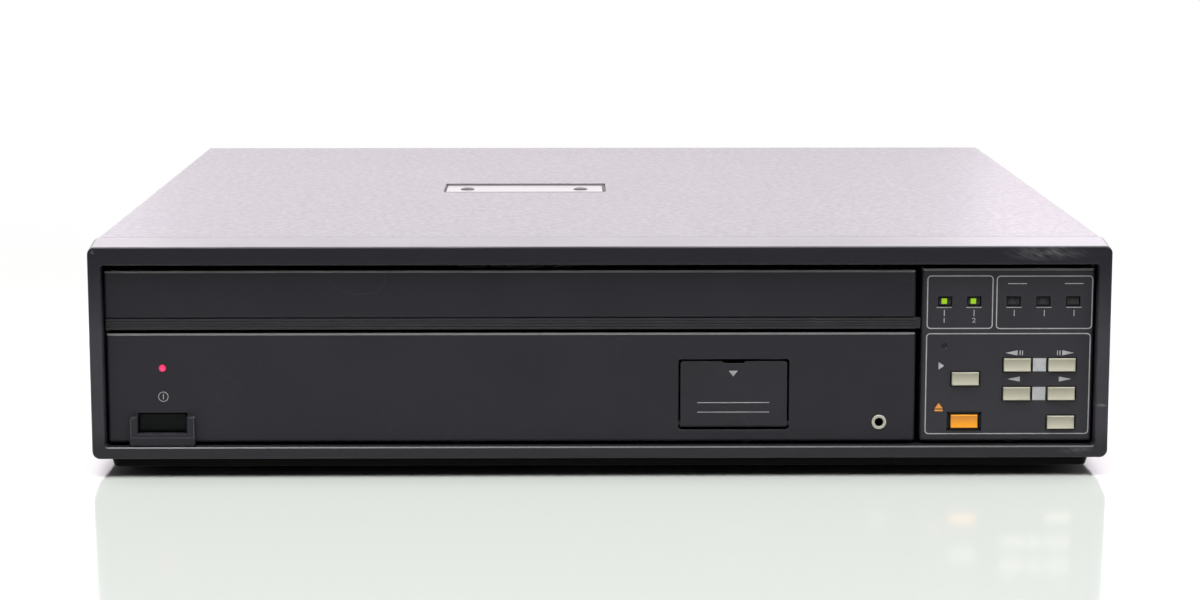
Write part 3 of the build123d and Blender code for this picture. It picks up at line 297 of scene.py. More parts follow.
def metalFinish(name, look):
    material, tree, shader = startMaterial(name)
    wear = useGroup(tree, "wear", Radius=look.get("edge", 0.0003), Amount=look.get("wear", 0.4))
    place = objectPlace(tree)
    if look["pattern"] == "turned":
        centre = addNode(tree, "Mapping", {"Vector": place, "Location": [-c for c in look["centre"]]})
        flat = addNode(tree, "VectorMath", {0: centre.outputs[0], 1: look["plane"]}, operation="MULTIPLY")
        radius = addNode(tree, "VectorMath", {0: flat.outputs[0]}, operation="LENGTH").outputs["Value"]
        rings = addNode(tree, "TexNoise", {"W": times(tree, radius, look["scale"]), "Scale": 1.0,
                                           "Detail": 3.0}, noise_dimensions="1D")
        pattern = rings.outputs["Fac"]
    elif look["pattern"] == "spangle":
        cells = addNode(tree, "TexVoronoi", {"Vector": place, "Scale": look["scale"]})
        pattern = addNode(tree, "SeparateColor", {0: cells.outputs["Color"]}).outputs[0]
    else:
        stretch = addNode(tree, "Mapping", {"Vector": place, "Scale": look["stretch"]})
        pattern = noiseOf(tree, stretch.outputs[0], look["scale"], 4.0)
    tone = useGroup(tree, "grain", Scale=1500.0, Mottle=25.0)["Tone"]
    shade = calc(tree, "ADD", times(tree, pattern, 0.7), times(tree, tone, 0.3))
    colour = blendColour(tree, remap(tree, shade, 0.3, 0.7), opaque(look["colour"], 0.8),
                         opaque(look["colour"], 1.12))
    colour = blendColour(tree, wear["Mask"], colour, opaque(look.get("worn", look["colour"]), 1.2))
    feed(shader, "Base Color", colour)
    feed(shader, "Roughness", remap(tree, shade, 0.3, 0.7, look["rough"] - 0.07, look["rough"] + 0.09))
    addRelief(tree, shader, wear, pattern, look.get("depth", 0.00001))
    shader.inputs["Metallic"].default_value = look.get("metal", 1.0)
    setShader(shader, look)
    return material


def paintFinish(name, look):
    material, tree, shader = startMaterial(name)
    wear = useGroup(tree, "wear", Radius=look.get("edge", 0.0006), Amount=look["wear"])
    grain = useGroup(tree, "grain", Scale=look["grain"], Mottle=look.get("mottle", 9.0))
    dust = useGroup(tree, "dust", Amount=look.get("dust", 0.2), Scale=700.0)
    scratch = useGroup(tree, "scratch", Amount=look.get("scratch", 0.4), Scale=look.get("scratchScale", 9.0),
                       Width=0.004)
    place = objectPlace(tree)
    spatter = addNode(tree, "TexVoronoi", {"Vector": place, "Scale": look["spatter"], "Randomness": 1.0},
                      feature="SMOOTH_F1")
    bumps = calc(tree, "ADD", times(tree, spatter.outputs["Distance"], -1.0),
                 times(tree, grain["Height"], 0.5))
    tone = calc(tree, "ADD", times(tree, grain["Tone"], 0.6), times(tree, grain["Height"], 0.4))
    colour = blendColour(tree, remap(tree, tone, 0.38, 0.62), opaque(look["colour"], 0.89),
                         opaque(look["colour"], 1.12))
    colour = blendColour(tree, dust["Mask"], colour, opaque(dirtWearAndHighlight["paintDust"]))
    colour = blendColour(tree, scratch["Mask"], colour, opaque(look["worn"]))
    colour = blendColour(tree, wear["Mask"], colour, opaque(look["worn"]))
    for place, reach, amount in look.get("scuffs", ()):
        scuff = useGroup(tree, "scuff", Place=place, Reach=reach, Amount=amount)
        colour = blendColour(tree, scuff["Mask"], colour, opaque(look["worn"]))
    # painted light: faces of the paint that turn to the front are lighter
    if "wall" in look:
        forward = axesOf(tree, addNode(tree, "NewGeometry").outputs["True Normal"])["Y"]
        colour = blendColour(tree, remap(tree, forward, -0.5, -0.9), colour, opaque(look["wall"]))
    feed(shader, "Base Color", colour)
    feed(shader, "Roughness", remap(tree, tone, 0.35, 0.65, look["rough"] - 0.06, look["rough"] + 0.06))
    relief = addRelief(tree, shader, wear, bumps, look["depth"])
    setShader(shader, look)
    if "coat" in look:
        feed(shader, "Coat Weight", remap(tree, tone, 0.40, 0.60, look["coat"][0], look["coat"][1]))
        feed(shader, "Coat Normal", relief)
    return material


def boardFinish(name, look):
    material, tree, shader = startMaterial(name)
    place = objectPlace(tree)
    turned = addNode(tree, "Mapping", {"Vector": place, "Rotation": look["turn"]}).outputs[0]
    tracks = addNode(tree, "TexBrick", {"Vector": turned, "Scale": look["tracks"], "Mortar Size": 0.08,
                                        "Color1": opaque(look["colour"]),
                                        "Color2": opaque(look["colour"], 0.75),
                                        "Mortar": opaque(look["colour"], 1.6)})
    cells = addNode(tree, "TexVoronoi", {"Vector": place, "Scale": look["parts"]})
    mixed = addNode(tree, "SeparateColor", {0: cells.outputs["Color"]}).outputs[0]
    bodies = blendColour(tree, calc(tree, "GREATER_THAN", mixed, 0.6), opaque(look["chips"]),
                         opaque(look["bodies"]))
    away = axesOf(tree, place)[look["axis"]]
    raised = calc(tree, "GREATER_THAN", times(tree, away, look["sign"]), look["level"])
    colour = blendColour(tree, raised, tracks.outputs["Color"], bodies)
    wear = useGroup(tree, "wear", Radius=0.0003, Amount=0.3)
    grain = useGroup(tree, "grain", Scale=1800.0, Mottle=60.0)
    colour = blendColour(tree, wear["Mask"], colour, opaque(dirtWearAndHighlight["solder"]))
    feed(shader, "Base Color", colour)
    feed(shader, "Roughness", remap(tree, grain["Tone"], 0.3, 0.7, 0.32, 0.5))
    addRelief(tree, shader, wear, tracks.outputs["Fac"], 0.00003)
    return material


def glowFinish(name, look):
    material, tree, shader = startMaterial(name)
    place = objectPlace(tree)
    centre = addNode(tree, "Mapping", {"Vector": place, "Location": [-c for c in look["centre"]]}).outputs[0]
    flat = addNode(tree, "VectorMath", {0: centre, 1: (1.0, 0.0, 1.0)}, operation="MULTIPLY").outputs[0]
    radius = addNode(tree, "VectorMath", {0: flat}, operation="LENGTH").outputs["Value"]
    inner = remap(tree, radius, look["reach"], 0.0)
    colour = blendColour(tree, inner, opaque(look["rim"]), opaque(look["core"]))
    feed(shader, "Emission Color", colour)
    shader.inputs["Emission Strength"].default_value = look["strength"]
    shader.inputs["Base Color"].default_value = opaque(look["rim"], 0.6)
    shader.inputs["Roughness"].default_value = 0.25
    return material


# Finishes, from the moulded front to the parts inside
dull = {"Specular IOR Level": 0.28}
flapEdge = (0.003, 0.003, 0.0032)  # the flap's sides and top lie in the shade of its gap
buttonEdge = (0.0008, 0.0009, 0.0010)  # so do the rims of the power button
bezelLook = {"colour": (0.0395, 0.0360, 0.0445), "rough": 0.46, "grain": 2600.0, "depth": 0.000010,
             "wear": 0.25, "worn": (0.13, 0.12, 0.13), "dust": 0.12, "scratch": 0.2, "edge": 0.0010,
             "crestHighlight": 0.05, "topCoat": 1.0,
             # painted shade: the upper part with the top bar, and the bottom bar, darker than the sides
             "paintedShading": [("Z", 0.060, 0.088, (0.0112, 0.0092, 0.0150)),
                      ("Z", 0.020, 0.013, (0.0205, 0.0190, 0.0240))],
             "scuffs": [((0.183, -0.201, 0.0938), (0.019, 0.01, 0.0040), 0.30),
                        ((0.2062, -0.200, 0.0300), (0.0035, 0.01, 0.0009), 0.8),
                        ((-0.2075, -0.201, 0.0946), (0.0012, 0.01, 0.0010), 0.9),
                        ((0.197, -0.201, 0.0112), (0.008, 0.01, 0.0016), 0.25)],
             "shader": {"Specular IOR Level": 0.28, "Coat Roughness": 0.30, "Coat IOR": 1.8}}
frontLook = {"rough": 0.50, "grain": 2600.0, "depth": 0.000010, "wear": 0.20, "worn": (0.12, 0.12, 0.12),
             "edge": 0.0006, "shader": dull}
lowerLook = {**frontLook, "colour": (0.0175, 0.0160, 0.0222), "scratch": 0.12, "crestHighlight": 0.25}
controlLook = {**frontLook, "colour": (0.0245, 0.0225, 0.0290), "scratch": 0.10, "crestHighlight": 1.0,
               # painted shading: the control panel lighter towards the bottom, its upper part in painted
               # shade
               "paintedShading": [("Z", 0.052, 0.020, (0.0300, 0.0280, 0.0350))]}
doorLook = {**frontLook, "colour": (0.0155, 0.0140, 0.0205), "rough": 0.44, "depth": 0.000008,
            "scratch": 0.12, "crestHighlight": 1.0}
flapLook = {**frontLook, "colour": (0.0205, 0.0190, 0.0250), "wear": 0.35, "edge": 0.0004, "crestHighlight": 0.1,
            "paintedShading": [("X", 0.03314, 0.03306, flapEdge), ("X", 0.07716, 0.07724, flapEdge),
                     ("Z", 0.04792, 0.04802, flapEdge)]}
stripLook = {**frontLook, "colour": (0.0235, 0.0222, 0.0265), "rough": 0.42, "grain": 3000.0,
             "depth": 0.000006, "wear": 0.25, "edge": 0.0004, "crestHighlight": 0.2}
buttonLook = {"colour": (0.0022, 0.0031, 0.0040), "rough": 0.24, "grain": 900.0, "depth": 0.000002,
              "wear": 0.1, "worn": (0.06, 0.06, 0.06), "crestHighlight": 0.15, "ribs": 290.0, "ribHighlight": 0.12,
              "shader": {"Specular IOR Level": 0.10},
              "paintedShading": [("Z", 0.02580, 0.02592, buttonEdge), ("Z", 0.01955, 0.01940, buttonEdge),
                       ("X", -0.19030, -0.19045, buttonEdge), ("X", -0.17200, -0.17185, buttonEdge)]}
keyLook = {"colour": (0.52, 0.49, 0.395), "lean": (0.36, 0.34, 0.26), "rough": 0.42, "grain": 2400.0,
           "depth": 0.000004, "wear": 0.15, "worn": (0.62, 0.61, 0.52), "dust": 0.0, "scratch": 0.0}
rejectLook = {**keyLook, "colour": (0.93, 0.36, 0.016), "lean": (0.78, 0.27, 0.010), "rough": 0.40,
              "worn": (0.9, 0.45, 0.1)}
blackLook = {"colour": (0.004, 0.004, 0.0045), "rough": 0.45, "grain": 1800.0, "depth": 0.000006,
             "wear": 0.2, "worn": (0.05, 0.05, 0.05), "shader": {"Specular IOR Level": 0.2}}
trayLook = {"colour": (0.022, 0.022, 0.024), "rough": 0.42, "grain": 1400.0, "depth": 0.000014, "wear": 0.3,
            "worn": (0.1, 0.1, 0.1), "dust": 0.1}
acetalLook = {"colour": (0.62, 0.60, 0.53), "rough": 0.38, "grain": 900.0, "depth": 0.000006, "wear": 0.2,
              "worn": (0.7, 0.69, 0.62), "shader": {"Subsurface Weight": 0.1, "Subsurface Scale": 0.002}}
rubberLook = {"colour": (0.012, 0.012, 0.012), "rough": 0.75, "grain": 1500.0, "depth": 0.00002,
              "wear": 0.1, "worn": (0.05, 0.05, 0.05)}
coverLook = {"colour": (0.066, 0.055, 0.068), "rough": 0.42, "grain": 1300.0, "spatter": 1100.0,
             "depth": 0.000030, "wear": 0.3, "worn": (0.30, 0.29, 0.30), "dust": 0.22, "scratch": 0.35,
             "mottle": 330.0, "coat": (0.50, 1.0), "wall": (0.26, 0.22, 0.23),
             "scuffs": [((0.1465, 0.080, 0.0965), (0.0006, 0.026, 0.01), 1.0),
                        ((0.1437, 0.036, 0.0965), (0.0006, 0.026, 0.01), 1.0),
                        ((0.149, 0.006, 0.0965), (0.0005, 0.022, 0.01), 0.9),
                        ((-0.0875, 0.055, 0.0965), (0.0007, 0.09, 0.01), 0.5)],
             "shader": {"Coat Roughness": 0.28, "Coat IOR": 1.75, "Sheen Weight": 0.30,
                        "Sheen Roughness": 0.3, "Sheen Tint": (1.0, 0.88, 1.0, 1.0)}}
baseLook = {"colour": (0.0018, 0.0018, 0.0020), "rough": 0.45, "grain": 1200.0, "spatter": 900.0,
            "depth": 0.00001, "wear": 0.2, "worn": (0.05, 0.05, 0.05), "dust": 0.05,
            "shader": {"Specular IOR Level": 0.06}}
plateLook = {"colour": (0.215, 0.195, 0.20), "rough": 0.36, "grain": 1500.0, "spatter": 700.0,
             "depth": 0.000006, "wear": 0.8, "worn": (0.5, 0.49, 0.5),
             "shader": {"Coat Weight": 0.9, "Coat Roughness": 0.28, "Coat IOR": 1.7}}
rearLook = {"colour": (0.020, 0.020, 0.022), "rough": 0.45, "grain": 1300.0, "spatter": 1000.0,
            "depth": 0.00002, "wear": 0.3, "worn": (0.2, 0.2, 0.2)}
zincLook = {"pattern": "spangle", "scale": 160.0, "colour": (0.52, 0.52, 0.50), "rough": 0.36}
brushedLook = {"pattern": "brushed", "stretch": (4.0, 60.0, 60.0), "scale": 18.0,
               "colour": (0.50, 0.50, 0.50), "rough": 0.33}
screwLook = {"pattern": "brushed", "stretch": (40.0, 40.0, 40.0), "scale": 30.0,
             "colour": (0.17, 0.155, 0.16), "rough": 0.34, "wear": 0.8, "worn": (0.6, 0.6, 0.6)}
turnedLook = {"pattern": "turned", "centre": (-0.037, -0.022, 0.0), "plane": (1.0, 1.0, 0.0),
              "scale": 1800.0, "colour": (0.48, 0.48, 0.49), "rough": 0.26}
nickelLook = {"pattern": "turned", "centre": (0.1155, 0.0, 0.0224), "plane": (1.0, 0.0, 1.0),
              "scale": 2500.0, "colour": (0.72, 0.70, 0.64), "rough": 0.18}
brassLook = {"pattern": "turned", "centre": (-0.108, -0.138, 0.0), "plane": (1.0, 1.0, 0.0),
             "scale": 2500.0, "colour": (0.62, 0.45, 0.18), "rough": 0.25}
castLook = {"pattern": "brushed", "stretch": (30.0, 30.0, 30.0), "scale": 40.0,
            "colour": (0.33, 0.33, 0.34), "rough": 0.5, "depth": 0.00002}
coreLook = {"pattern": "brushed", "stretch": (1.0, 120.0, 1.0), "scale": 22.0, "colour": (0.17, 0.16, 0.15),
            "rough": 0.5, "depth": 0.0001}
sinkLook = {"pattern": "brushed", "stretch": (20.0, 20.0, 1.0), "scale": 40.0,
            "colour": (0.03, 0.03, 0.032), "rough": 0.45, "metal": 0.6}
boardLook = {"colour": (0.035, 0.10, 0.03), "bodies": (0.02, 0.03, 0.09), "chips": (0.012, 0.012, 0.013),
             "tracks": 260.0, "parts": 50.0, "axis": 2, "sign": 1.0, "level": 0.0139,
             "turn": (0.0, 0.0, 0.0)}
keyBoardLook = {**boardLook, "colour": (0.05, 0.11, 0.035), "bodies": (0.3, 0.3, 0.28), "parts": 60.0,
                "axis": 1, "sign": -1.0, "level": 0.1876, "turn": (1.5708, 0.0, 0.0)}

# Each finish: how it is made, its name, its look, and the pieces that wear it
finishTable = {
    "charcoal": (mouldedFinish, "charcoal moulding", bezelLook, ("front_bezel",)),
    "lower": (mouldedFinish, "lower panel moulding", lowerLook, ("lower_panel",)),
    "control": (mouldedFinish, "control panel moulding", controlLook, ("control_panel",)),
    "door": (mouldedFinish, "tray front moulding", doorLook, ("tray_front",)),
    "flap": (mouldedFinish, "flap moulding", flapLook, ("function_door",)),
    "strip": (mouldedFinish, "ribbed strip", stripLook, ("tray_trim_strip",)),
    "button": (mouldedFinish, "gloss black button", buttonLook, ("power_button",)),
    "key": (mouldedFinish, "key cap", keyLook, ("play_key", "step_reverse_key", "step_forward_key",
                                                "scan_reverse_key", "scan_forward_key", "display_key")),
    "reject": (mouldedFinish, "orange key cap", rejectLook, ("reject_key",)),
    "black": (mouldedFinish, "black moulding", blackLook, ("power_switch", "function_switch_block",
                                                           "ac_inlet", "audio_sockets", "clamper",
                                                           "indicator_lamps", "power_lamp")),
    "tray": (mouldedFinish, "tray moulding", trayLook, ("disc_tray", "tray_rack")),
    "acetal": (mouldedFinish, "acetal", acetalLook, ("tray_rails", "drive_gear", "loading_pulley",
                                                     "sled_pinion", "function_slide_1", "function_slide_2",
                                                     "function_slide_3")),
    "rubber": (mouldedFinish, "rubber", rubberLook, ("feet", "drive_belt")),
    "cover": (paintFinish, "textured cover paint", coverLook, ("top_cover",)),
    # painted shade: the front plate, seen through the gaps round the front panels, takes the black base paint
    "base": (paintFinish, "black base paint", baseLook, ("base_pan", "lift_chassis", "front_plate")),
    "plate": (paintFinish, "access plate paint", plateLook, ("access_plate",)),
    "rear": (paintFinish, "rear panel paint", rearLook, ("rear_panel",)),
    "zinc": (metalFinish, "zinc plated sheet", zincLook, ("side_frames", "clamp_bridge", "loading_bracket",
                                                          "lift_slider")),
    "brushed": (metalFinish, "ground steel", brushedLook, ("guide_posts", "guide_rods", "loading_motor",
                                                           "spindle_motor", "sled_motor")),
    "screw": (metalFinish, "screw steel", screwLook, ("case_screws",)),
    "turned": (metalFinish, "turned aluminium", turnedLook, ("turntable",)),
    "nickel": (metalFinish, "nickel", nickelLook, ("remote_jack", "video_sockets", "interface_connector")),
    "brass": (metalFinish, "turned brass", brassLook, ("motor_pulley",)),
    "cast": (metalFinish, "cast alloy", castLook, ("pickup_carriage",)),
    "core": (metalFinish, "laminated core", coreLook, ("power_transformer",)),
    "sink": (metalFinish, "black anodised", sinkLook, ("heat_sink",)),
    "board": (boardFinish, "circuit board", boardLook, ("power_board", "circuit_boards")),
    "keyBoard": (boardFinish, "key board", keyBoardLook, ("key_board",)),
}
finishes = {}
for finish, (make, label, look, names) in finishTable.items():
    finishes[finish] = make(label, look)
    for name in names:
        nodes[name].data.materials.clear()
        nodes[name].data.materials.append(finishes[finish])


def lensFinish():
    material, tree, shader = startMaterial("coated lens")
    facing = addNode(tree, "LayerWeight", {"Blend": 0.4}).outputs["Facing"]
    colour = blendColour(tree, facing, (0.10, 0.16, 0.42, 1.0), (0.55, 0.62, 0.85, 1.0))
    feed(shader, "Base Color", colour)
    grain = useGroup(tree, "grain", Scale=1000.0, Mottle=200.0)
    feed(shader, "Roughness", remap(tree, grain["Tone"], 0.3, 0.7, 0.02, 0.07))
    shader.inputs["Coat Weight"].default_value = 1.0
    return material


nodes["pickup_lens"].data.materials.clear()
nodes["pickup_lens"].data.materials.append(lensFinish())
print("finishes made,", len(finishes) + 1)


# Shapes
sharpFrom = 35.0  # degrees between faces


def keepPiece(name, bm, material, body):
    bmesh.ops.remove_doubles(bm, verts=bm.verts, dist=1e-7)
    bmesh.ops.recalc_face_normals(bm, faces=bm.faces)
    mesh = bpy.data.meshes.new(name)
    bm.to_mesh(mesh)
    bm.free()
    piece = bpy.data.objects.new(name, mesh)
    scene.collection.objects.link(piece)
    mesh.materials.append(material)
    mesh.shade_smooth()
    mesh.set_sharp_from_angle(angle=math.radians(sharpFrom))
    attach(piece, body)
    return piece


def roundEdges(bm, edges, offset, segments=3):
    bmesh.ops.bevel(bm, geom=edges, offset=offset, offset_type="OFFSET", affect="EDGES", segments=segments,
                    profile=0.5, material=-1, clamp_overlap=True)


def block(bm, low, high, bevel=0.0, segments=3):
    centre = [(a + b) / 2 for a, b in zip(low, high)]
    size = [b - a for a, b in zip(low, high)]
    made = bmesh.ops.create_cube(bm, size=1.0, matrix=Matrix.LocRotScale(Vector(centre), None, Vector(size)))
    if bevel:
        roundEdges(bm, list({e for v in made["verts"] for e in v.link_edges}), bevel, segments)


def slab(bm, across, deep, up, bevel=0.0):  # the same in millimetres
    low, high = zip(*[[v * mm for v in pair] for pair in (across, deep, up)])
    block(bm, low, high, bevel * mm, 2)


def pushBack(bm, faces, depth):
    grown = bmesh.ops.extrude_face_region(bm, geom=list(faces))
    moved = [g for g in grown["geom"] if isinstance(g, bmesh.types.BMVert)]
    bmesh.ops.translate(bm, verts=moved, vec=(0.0, depth, 0.0))


def lathe(bm, centre, profile, steps, closed):  # turns a profile of radius and depth about an axis along Y
    chain = [bm.verts.new(((centre[0] + r) * mm, panelFace + y * mm, centre[1] * mm)) for r, y in profile]
    ends = chain[1:] + chain[:1] if closed else chain[1:]
    edges = [bm.edges.new(pair) for pair in zip(chain, ends)]
    bmesh.ops.spin(bm, geom=chain + edges, cent=(centre[0] * mm, 0.0, centre[1] * mm), axis=(0.0, 1.0, 0.0),
                   angle=math.tau, steps=steps, use_merge=True)


numeralSet = {"fontShare": 1.4, "widen": 1.25, "steps": 3}


def addNumeral(bm, text, centre, height, y, depth):
    curve = bpy.data.curves.new("numeral " + text, "FONT")
    curve.body = text
    curve.align_x = "CENTER"
    curve.align_y = "CENTER"
    curve.size = height * numeralSet["fontShare"]
    curve.resolution_u = numeralSet["steps"]
    curve.extrude = depth / 2
    holder = bpy.data.objects.new("numeral", curve)
    scene.collection.objects.link(holder)
    bpy.context.view_layer.update()
    mesh = bpy.data.meshes.new_from_object(holder.evaluated_get(bpy.context.evaluated_depsgraph_get()))
    place = Vector((centre[0], y + depth / 2, centre[1]))
    mesh.transform(Matrix.LocRotScale(place, Matrix.Rotation(math.radians(90), 3, "X"),
                                      Vector((numeralSet["widen"], 1.0, 1.0))))
    bm.from_mesh(mesh)
    bpy.data.objects.remove(holder)
    bpy.data.meshes.remove(mesh)


def printFinish(name, look):
    material, tree, shader = startMaterial(name)
    grain = useGroup(tree, "grain", Scale=3200.0, Mottle=300.0)
    colour = blendColour(tree, remap(tree, grain["Tone"], 0.3, 0.7), opaque(look["colour"], 0.85),
                         opaque(look["colour"], 1.1))
    worn = times(tree, remap(tree, grain["Height"], 0.62, 0.7), look["worn"])
    colour = blendColour(tree, worn, colour, opaque(dirtWearAndHighlight["inkGap"]))
    feed(shader, "Base Color", colour)
    feed(shader, "Roughness", remap(tree, grain["Height"], 0.3, 0.7, 0.45, 0.6))
    return material


# Ink on the front lies in thin layers; sizes here are in millimetres
inkSet = {"colour": (0.40, 0.395, 0.41), "worn": 0.5, "proud": 0.04, "depth": 0.06, "line": 0.42}
inkLight = printFinish("pale ink", inkSet)
inkOrange = printFinish("orange ink", {"colour": (0.80, 0.31, 0.04), "worn": 0.3})
inkY = panelFace - inkSet["proud"] * mm
inkDepth = inkSet["depth"] * mm


def inkBar(bm, across, up):
    (left, right), (low, high) = across, up
    block(bm, (left * mm, inkY, low * mm), (right * mm, inkY + inkDepth, high * mm))


def inkArrow(bm, place, size, turn):  # a triangle that faces the front, pushed back into a thin layer
    base = Matrix.Rotation(math.radians(turn) - math.pi / 2, 4, "Z")  # a first corner to the right at no turn
    verts = bmesh.ops.create_circle(bm, cap_ends=True, segments=3, radius=1.0, matrix=base)["verts"]
    low = [min(v.co[i] for v in verts) for i in (0, 1)]
    high = [max(v.co[i] for v in verts) for i in (0, 1)]
    for v in verts:
        across = (v.co.x - low[0]) / (high[0] - low[0]) - 0.5
        up = (v.co.y - low[1]) / (high[1] - low[1]) - 0.5
        v.co = Vector((place[0] * mm + across * size[0] * mm, inkY, place[1] * mm + up * size[1] * mm))
    pushBack(bm, {f for v in verts for f in v.link_faces}, inkDepth)


def inkBox(bm, across, up, line, corner, cornerSteps=4):  # an outline box with round corners
    (left, right), (low, high) = [[v * mm for v in pair] for pair in (across, up)]
    place = Vector(((left + right) / 2, inkY, (low + high) / 2))
    size = Vector(((right - left) / 2, (high - low) / 2, 1.0))
    upright = Matrix.LocRotScale(place, Matrix.Rotation(math.radians(90), 3, "X"), size)
    made = bmesh.ops.create_grid(bm, x_segments=1, y_segments=1, size=1.0, matrix=upright)
    rounded = bmesh.ops.bevel(bm, geom=made["verts"], offset=corner * mm, offset_type="OFFSET",
                              affect="VERTICES", segments=cornerSteps, profile=0.5, material=-1)
    face = max({f for v in rounded["verts"] for f in v.link_faces}, key=lambda f: f.calc_area())
    bmesh.ops.inset_region(bm, faces=[face], thickness=line * mm, use_even_offset=True, use_boundary=True)
    ring = {f for e in face.edges for f in e.link_faces if f is not face}
    bmesh.ops.delete(bm, geom=[face], context="FACES_ONLY")
    pushBack(bm, ring, inkDepth)


# Control panel: outline boxes, bars and ticks at the windows, arrows and ticks at the keys, two numerals
panelMarks = {
    "boxes": (((134.6, 161.9), (61.5, 83.8)), ((163.2, 203.0), (61.4, 83.7)),
              ((134.5, 202.6), (17.2, 59.7))),
    "corner": 1.6, "windows": (141.8, 154.1, 170.7, 183.1, 195.4), "bar": (-3.3, 3.0),
    "barUp": (70.3, 70.55), "stem": 0.16, "stemUp": (66.8, 69.4),
    "titles": ((167.9, 175.7), (191.3, 199.0)), "titleUp": (80.2, 80.55),
    "arrows": (((141.0, 46.0), (2.3, 3.2), 0), ((170.0, 51.4), (4.9, 2.2), 180),
               ((193.4, 51.4), (4.9, 2.2), 0), ((171.1, 40.4), (5.0, 2.1), 180),
               ((192.4, 40.4), (5.2, 2.1), 0)),
    "ticks": (173.5, 174.5, 189.0, 190.0), "tick": 0.19, "tickUp": (50.4, 52.4),
    "numerals": (("1", 141.8), ("2", 154.1)), "numeralUp": 65.0, "numeral": 2.0,
}
bm = bmesh.new()
for across, up in panelMarks["boxes"]:
    inkBox(bm, across, up, inkSet["line"], panelMarks["corner"])
for x in panelMarks["windows"]:
    inkBar(bm, [x + v for v in panelMarks["bar"]], panelMarks["barUp"])
    inkBar(bm, (x - panelMarks["stem"], x + panelMarks["stem"]), panelMarks["stemUp"])
for across in panelMarks["titles"]:
    inkBar(bm, across, panelMarks["titleUp"])
for place, size, turn in panelMarks["arrows"]:
    inkArrow(bm, place, size, turn)
for x in panelMarks["ticks"]:
    inkBar(bm, (x - panelMarks["tick"], x + panelMarks["tick"]), panelMarks["tickUp"])
for text, x in panelMarks["numerals"]:
    addNumeral(bm, text, (x * mm, panelMarks["numeralUp"] * mm), panelMarks["numeral"] * mm, inkY, inkDepth)
keepPiece("control_panel_marks", bm, inkLight, "player")

ejectMark = {"arrow": ((140.2, 29.2), (3.4, 2.3), 90), "bar": ((138.5, 141.9), (26.9, 27.6))}
bm = bmesh.new()
inkArrow(bm, *ejectMark["arrow"])
inkBar(bm, *ejectMark["bar"])
keepPiece("eject_mark", bm, inkOrange, "player")

powerMark = {"x": -180.7, "z": 33.6, "radius": 2.1, "line": 0.26, "corner": 0.999, "stem": 0.16,
             "stemUp": (32.5, 34.7)}
bm = bmesh.new()
across, up = ([powerMark[axis] + s * powerMark["radius"] for s in (-1, 1)] for axis in "xz")
inkBox(bm, across, up, powerMark["line"], powerMark["radius"] * powerMark["corner"], 10)
inkBar(bm, [powerMark["x"] + s * powerMark["stem"] for s in (-1, 1)], powerMark["stemUp"])
keepPiece("power_mark", bm, inkLight, "player")

# Painted highlight along the outer edge of the guard round the power button
guardSet = {"x": (-194.3, -168.0), "z": (16.9, 25.1), "corner": 2.0, "y": (-199.64, -199.55), "line": 0.32}
bm = bmesh.new()
(left, right), (low, high), line = guardSet["x"], guardSet["z"], guardSet["line"]
for x0, x1, z0, z1 in ((left, left + line, low, high), (right - line, right, low, high),
                       (left, right, low - line, low),
                       (left, left + guardSet["corner"], high - line, high),
                       (right - guardSet["corner"], right, high - line, high)):
    slab(bm, (x0, x1), guardSet["y"], (z0, z1))
guardHighlightInk = printFinish("guard edge highlight", {"colour": (0.050, 0.048, 0.054), "worn": 0.6})
keepPiece("guard_edge", bm, guardHighlightInk, "player")

# Arrow and two lines on the flap
flapMarks = {"arrow": ((54.9, 42.9), (3.7, 2.4), -90), "lines": (26.7, 30.7), "across": (40.1, 69.9),
             "half": 0.15}
bm = bmesh.new()
inkArrow(bm, *flapMarks["arrow"])
for z in flapMarks["lines"]:
    inkBar(bm, flapMarks["across"], (z - flapMarks["half"], z + flapMarks["half"]))
keepPiece("flap_marks", bm, inkLight, "function_door")
print("marks printed")

